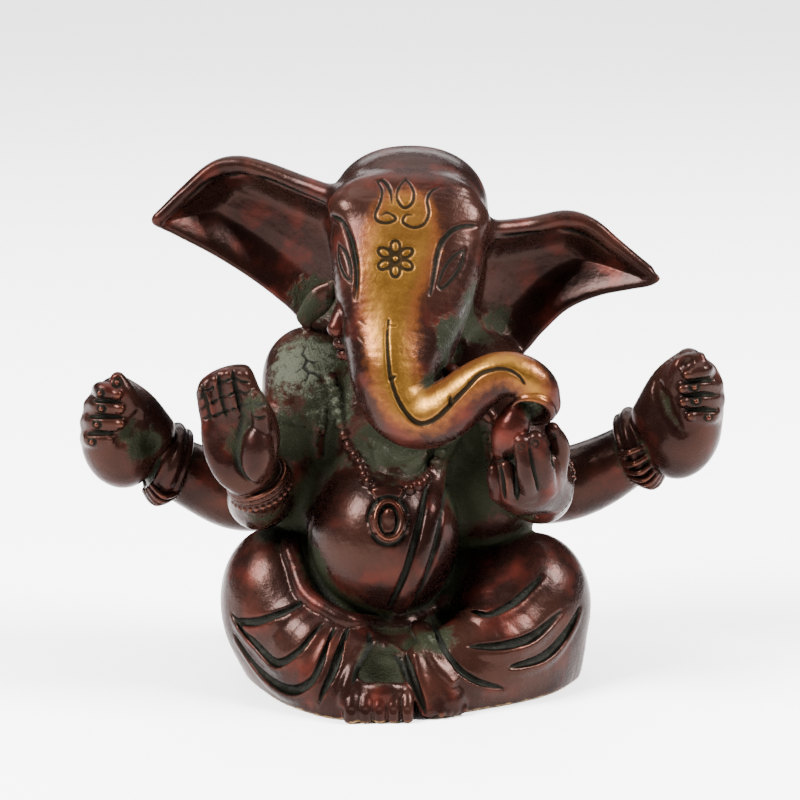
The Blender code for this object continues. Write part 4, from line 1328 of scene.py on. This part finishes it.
clay = Clay(GRID_LOW, GRID_HIGH, STEP)
for number, (strokes, soft) in enumerate(BASE, 1):
    clay.press(number, strokes(), soft)
GILT_ROUTE = np.column_stack([clay.faced(GILT_LINE), [row[3] for row in GILT_LINE]])
cloth_detail()
body_detail()
ear_detail()
crack_detail()
for number, (strokes, soft) in enumerate(ORNAMENTS, len(BASE) + 1):
    clay.press(number, strokes(), soft)
hem_detail()
head_detail()
hand_detail()
foot_detail()
fists()
pendant_detail()
# The base is cut flat, with a slightly rounded edge
z = clay.block.grid(clay.block.start, clay.block.stop)[2]
clay.skin[...] = soft_max(clay.skin, -z, 0.6)

# How proud each spot stands of its near surroundings, and how sheltered it is by its wide ones
COARSE = 3
FINE = blurred(np.clip(clay.skin, -1.0, 1.0), max(1, round(0.6 / STEP)))
thinned = np.clip(clay.skin[::COARSE, ::COARSE, ::COARSE], -3.5, 3.5)
BROAD = blurred(thinned, max(1, round(2.6 / STEP / COARSE)))


# ---------------------------------------------------------------- materials


class Look:
    """A material, wired value by value. Sizes are in millimetres."""

    def __init__(self, name):
        self.material = bpy.data.materials.new(name)
        self.material.use_nodes = True
        self.tree = self.material.node_tree
        self.shader = self.tree.nodes["Principled BSDF"]
        self.place = self.tree.nodes.new("ShaderNodeTexCoord").outputs["Object"]

    def feed(self, socket, value):
        if isinstance(value, bpy.types.NodeSocket):
            self.tree.links.new(value, socket)
        else:
            socket.default_value = value

    def math(self, operation, a, b):
        node = self.tree.nodes.new("ShaderNodeMath")
        node.operation = operation
        self.feed(node.inputs[0], a)
        self.feed(node.inputs[1], b)
        return node.outputs[0]

    def times(self, a, b):
        return self.math("MULTIPLY", a, b)

    def plus(self, a, b):
        return self.math("ADD", a, b)

    def minus(self, a, b):
        return self.math("SUBTRACT", a, b)

    def higher(self, a, b):
        return self.math("MAXIMUM", a, b)

    def mix(self, share, a, b):
        node = self.tree.nodes.new("ShaderNodeMix")
        node.data_type = "RGBA"
        self.feed(node.inputs[0], share)
        self.feed(node.inputs[6], a)
        self.feed(node.inputs[7], b)
        return node.outputs[2]

    def noise(self, size, detail):
        node = self.tree.nodes.new("ShaderNodeTexNoise")
        node.inputs["Scale"].default_value = 1000.0 / size
        node.inputs["Detail"].default_value = detail
        self.feed(node.inputs["Vector"], self.place)
        return node.outputs["Fac"]

    def rise(self, value, low, high):
        """0 below low, 1 above high, smooth between."""
        node = self.tree.nodes.new("ShaderNodeMapRange")
        node.interpolation_type = "SMOOTHSTEP"
        self.feed(node.inputs["Value"], value)
        node.inputs["From Min"].default_value = low
        node.inputs["From Max"].default_value = high
        return node.outputs["Result"]

    def stored(self, name):
        node = self.tree.nodes.new("ShaderNodeAttribute")
        node.attribute_name = name
        return node.outputs["Fac"]

    def height(self):
        node = self.tree.nodes.new("ShaderNodeSeparateXYZ")
        self.feed(node.inputs[0], self.place)
        return self.times(node.outputs[2], 1000.0)

    def bump(self, height, depth):
        node = self.tree.nodes.new("ShaderNodeBump")
        node.inputs["Distance"].default_value = depth / 1000.0
        self.feed(node.inputs["Height"], height)
        self.feed(self.shader.inputs["Normal"], node.outputs[0])


LACQUER = {
    "deep": (0.0090, 0.0034, 0.0027, 1),
    "warm": (0.050, 0.0082, 0.0052, 1),
    "brown": (0.022, 0.0085, 0.0058, 1),
    "worn": (0.066, 0.024, 0.015, 1),
    # The next colour is near-black painted shade, with dirt, for grooves and cuts
    "groove_shade_and_dirt": (0.0035, 0.0040, 0.0030, 1),
    "green": (0.0060, 0.0072, 0.0029, 1),
    "pale": (0.034, 0.036, 0.025, 1),
    "fringe": (0.080, 0.025, 0.007, 1),
    "gold": (0.130, 0.060, 0.011, 1),
    "bronze": (0.105, 0.046, 0.010, 1),
    "brass": (0.40, 0.24, 0.10, 1),
}


def cast_metal(name, lean, green=0.0, worn=0.0):
    """Lacquered brass: more red for a higher lean, and more patina and wear for green and worn."""
    look = Look(name)
    tone = LACQUER
    speck = look.noise(0.32, 1.0)
    grain = look.noise(1.3, 3.0)
    lumps = look.noise(3.4, 2.0)
    blotch = look.noise(6.0, 3.0)
    cloud = look.noise(15.0, 2.0)
    crest = look.stored("crest")
    shelter = look.stored("shelter")
    damp = look.stored("damp")
    gilt = look.stored("gilt")
    cut = look.stored("cut")
    wobble = look.times(look.minus(grain, 0.5), 0.10)

    # Lacquer, in blotches and clouds
    body = look.mix(look.rise(blotch, 0.50 - lean, 0.92 - lean), tone["deep"], tone["warm"])
    body = look.mix(look.times(look.rise(cloud, 0.42, 0.66), 0.6), body, tone["brown"])

    # Copper on proud edges
    edge = look.rise(look.plus(crest, wobble), 0.085 - worn, 0.26 - worn)
    body = look.mix(look.times(edge, 0.7), body, tone["worn"])

    # Gilding with a ragged fringe, duller high up and in blotches, and darker bronze near its border: rubbed
    # gilding in the blotches, painted side shade at the border, where the band turns round the trunk
    spread = look.plus(gilt, look.times(look.minus(grain, 0.5), 3.0))
    fringe = look.rise(spread, -2.4, 0.6)
    gold = look.rise(spread, -0.8, 2.2)
    high = look.rise(look.plus(look.height(), look.times(grain, 6.0)), 80.0, 88.0)
    dulled = look.higher(high, look.times(look.rise(blotch, 0.45, 0.75), 0.6))
    # Bronze near the band's border, where it turns onto the trunk's sides: painted side shade
    dulled = look.higher(dulled, look.rise(spread, 2.6, 0.6))
    rubbed_and_side_shaded_gilt = look.mix(dulled, tone["gold"], tone["bronze"])
    body = look.mix(fringe, body, tone["fringe"])
    body = look.mix(gold, body, rubbed_and_side_shaded_gilt)

    # Patina in sheltered and damp places, with pale chalk on it
    open_ground = look.minus(1.0, look.times(gold, 0.85))
    depth = look.minus(look.times(blotch, 0.9), shelter)
    depth = look.plus(depth, look.times(damp, 0.52))
    depth = look.plus(depth, look.times(look.minus(grain, 0.5), 0.7))
    spots = look.times(look.minus(look.plus(grain, blotch), 1.0), 0.8)
    bloom = look.rise(look.plus(damp, spots), 0.28, 0.62)
    patina = look.higher(look.rise(depth, 0.56 - green, 1.0 - green), bloom)
    patina = look.times(patina, open_ground)
    chalk = look.times(look.stored("pale"), 0.55)
    chalk = look.plus(chalk, look.times(speck, 0.6))
    chalk = look.rise(look.plus(chalk, look.times(grain, 0.7)), 0.80, 1.10)
    body = look.mix(patina, body, look.mix(chalk, tone["green"], tone["pale"]))

    # Painted shade, with dirt, in grooves and cuts: hollows and cut lines are painted nearly black, standing
    # in for the shade that falls in them
    groove = look.rise(look.minus(wobble, crest), 0.07, 0.17)
    groove = look.higher(groove, look.rise(look.plus(cut, wobble), 0.20, 0.0))
    body = look.mix(look.times(groove, 0.94), body, tone["groove_shade_and_dirt"])

    # Bare brass along the foot of the base
    rim = look.rise(look.plus(look.height(), look.times(grain, 1.2)), 1.2, 0.5)
    body = look.mix(look.times(rim, 0.7), body, tone["brass"])
    look.feed(look.shader.inputs["Base Color"], body)

    # Gloss: patina and the painted shade and dirt in grooves are rougher, and patina is hardly metallic;
    # grooves stay metallic, so they reflect only their dark colour and deepen the painted shade
    matt = look.higher(patina, look.times(groove, 0.8))
    shine = look.plus(0.24, look.times(look.rise(speck, 0.45, 0.75), 0.06))
    shine = look.plus(shine, look.times(look.rise(blotch, 0.4, 0.7), 0.08))
    shine = look.plus(shine, look.times(gold, 0.12))
    look.feed(look.shader.inputs["Roughness"], look.plus(shine, look.times(matt, 0.38)))
    metal = look.plus(0.45, look.times(look.higher(gold, edge), 0.5))
    metal = look.higher(metal, look.times(groove, 0.9))
    clear = look.minus(1.0, look.times(patina, 0.9))
    look.feed(look.shader.inputs["Metallic"], look.times(metal, clear))
    look.shader.inputs["Specular Tint"].default_value = (0.46, 0.40, 0.37, 1)
    look.shader.inputs["IOR"].default_value = 1.27

    # Fine relief of the casting's skin
    relief = look.plus(look.times(speck, 0.25), look.times(grain, 0.8))
    relief = look.plus(relief, look.times(lumps, 2.0))
    relief = look.plus(relief, look.times(look.times(patina, speck), 2.2))
    look.bump(relief, 0.07)
    return look.material


MATERIALS = {
    "red_lacquer": cast_metal("red_lacquer", 0.04),
    "polished_gold": cast_metal("polished_gold", 0.06),
    "worn_copper": cast_metal("worn_copper", 0.14, worn=0.02),
    "green_patina": cast_metal("green_patina", 0.0, green=0.3),
}

for number, name in enumerate(NAMES, 1):
    slot = SLOTS.get(name, "red_lacquer")
    piece = make_piece(name, number)
    piece.data.materials.append(MATERIALS[slot])
    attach(piece, "root")
    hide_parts(name)


# ---------------------------------------------------------------- studio


def studio_floor():
    """The pale floor that the figure stands on."""
    mesh = bpy.data.meshes.new("floor")
    mesh.from_pydata([(-4, -4, 0), (4, -4, 0), (4, 4, 0), (-4, 4, 0)], [], [(0, 1, 2, 3)])
    floor = bpy.data.objects.new("floor", mesh)
    bpy.context.scene.collection.objects.link(floor)
    look = Look("studio_floor")
    look.feed(look.shader.inputs["Base Color"],
              look.mix(look.noise(400.0, 2.0), (0.95, 0.95, 0.955, 1), (0.97, 0.97, 0.97, 1)))
    look.shader.inputs["Roughness"].default_value = 0.6
    look.shader.inputs["Specular IOR Level"].default_value = 0.2
    mesh.materials.append(look.material)


def soft_box(name, spot, aim, size, power):
    """A soft rectangular lamp, aimed at a point."""
    lamp = bpy.data.lights.new(name, "AREA")
    lamp.shape = "RECTANGLE"
    lamp.size, lamp.size_y = size
    lamp.energy = power
    made = bpy.data.objects.new(name, lamp)
    made.location = spot
    made.rotation_euler = (Vector(aim) - Vector(spot)).to_track_quat("-Z", "Y").to_euler()
    bpy.context.scene.collection.objects.link(made)


studio_floor()
world = bpy.data.worlds.new("studio")
bpy.context.scene.world = world
world.use_nodes = True
background = world.node_tree.nodes["Background"]
background.inputs["Color"].default_value = (0.97, 0.98, 1.0, 1)
background.inputs["Strength"].default_value = 0.27

target = Vector(to_frame([(0.4, 0.0, 50.6)])[0])
soft_box("left_box", (-0.80, -0.42, 0.90), target, (0.50, 0.52), 88)
soft_box("right_box", (0.88, -0.20, 0.85), target, (0.36, 0.50), 70)
soft_box("overhead", (0.0, 0.3, 1.6), target, (1.4, 1.4), 40)
soft_box("far_floor_wash", (0.0, 2.4, 1.5), (0.0, 2.4, 0.0), (2.4, 1.6), 95)

CAMERA_AWAY = 0.48
lens = bpy.data.cameras.new("camera")
lens.lens = 120
lens.sensor_width = 36
camera = bpy.data.objects.new("camera", lens)
camera.location = target + Vector((0, -math.cos(TILT), math.sin(TILT))) * CAMERA_AWAY * UNIT * 1000
camera.rotation_euler = (target - camera.location).to_track_quat("-Z", "Y").to_euler()
bpy.context.scene.collection.objects.link(camera)
bpy.context.scene.camera = camera
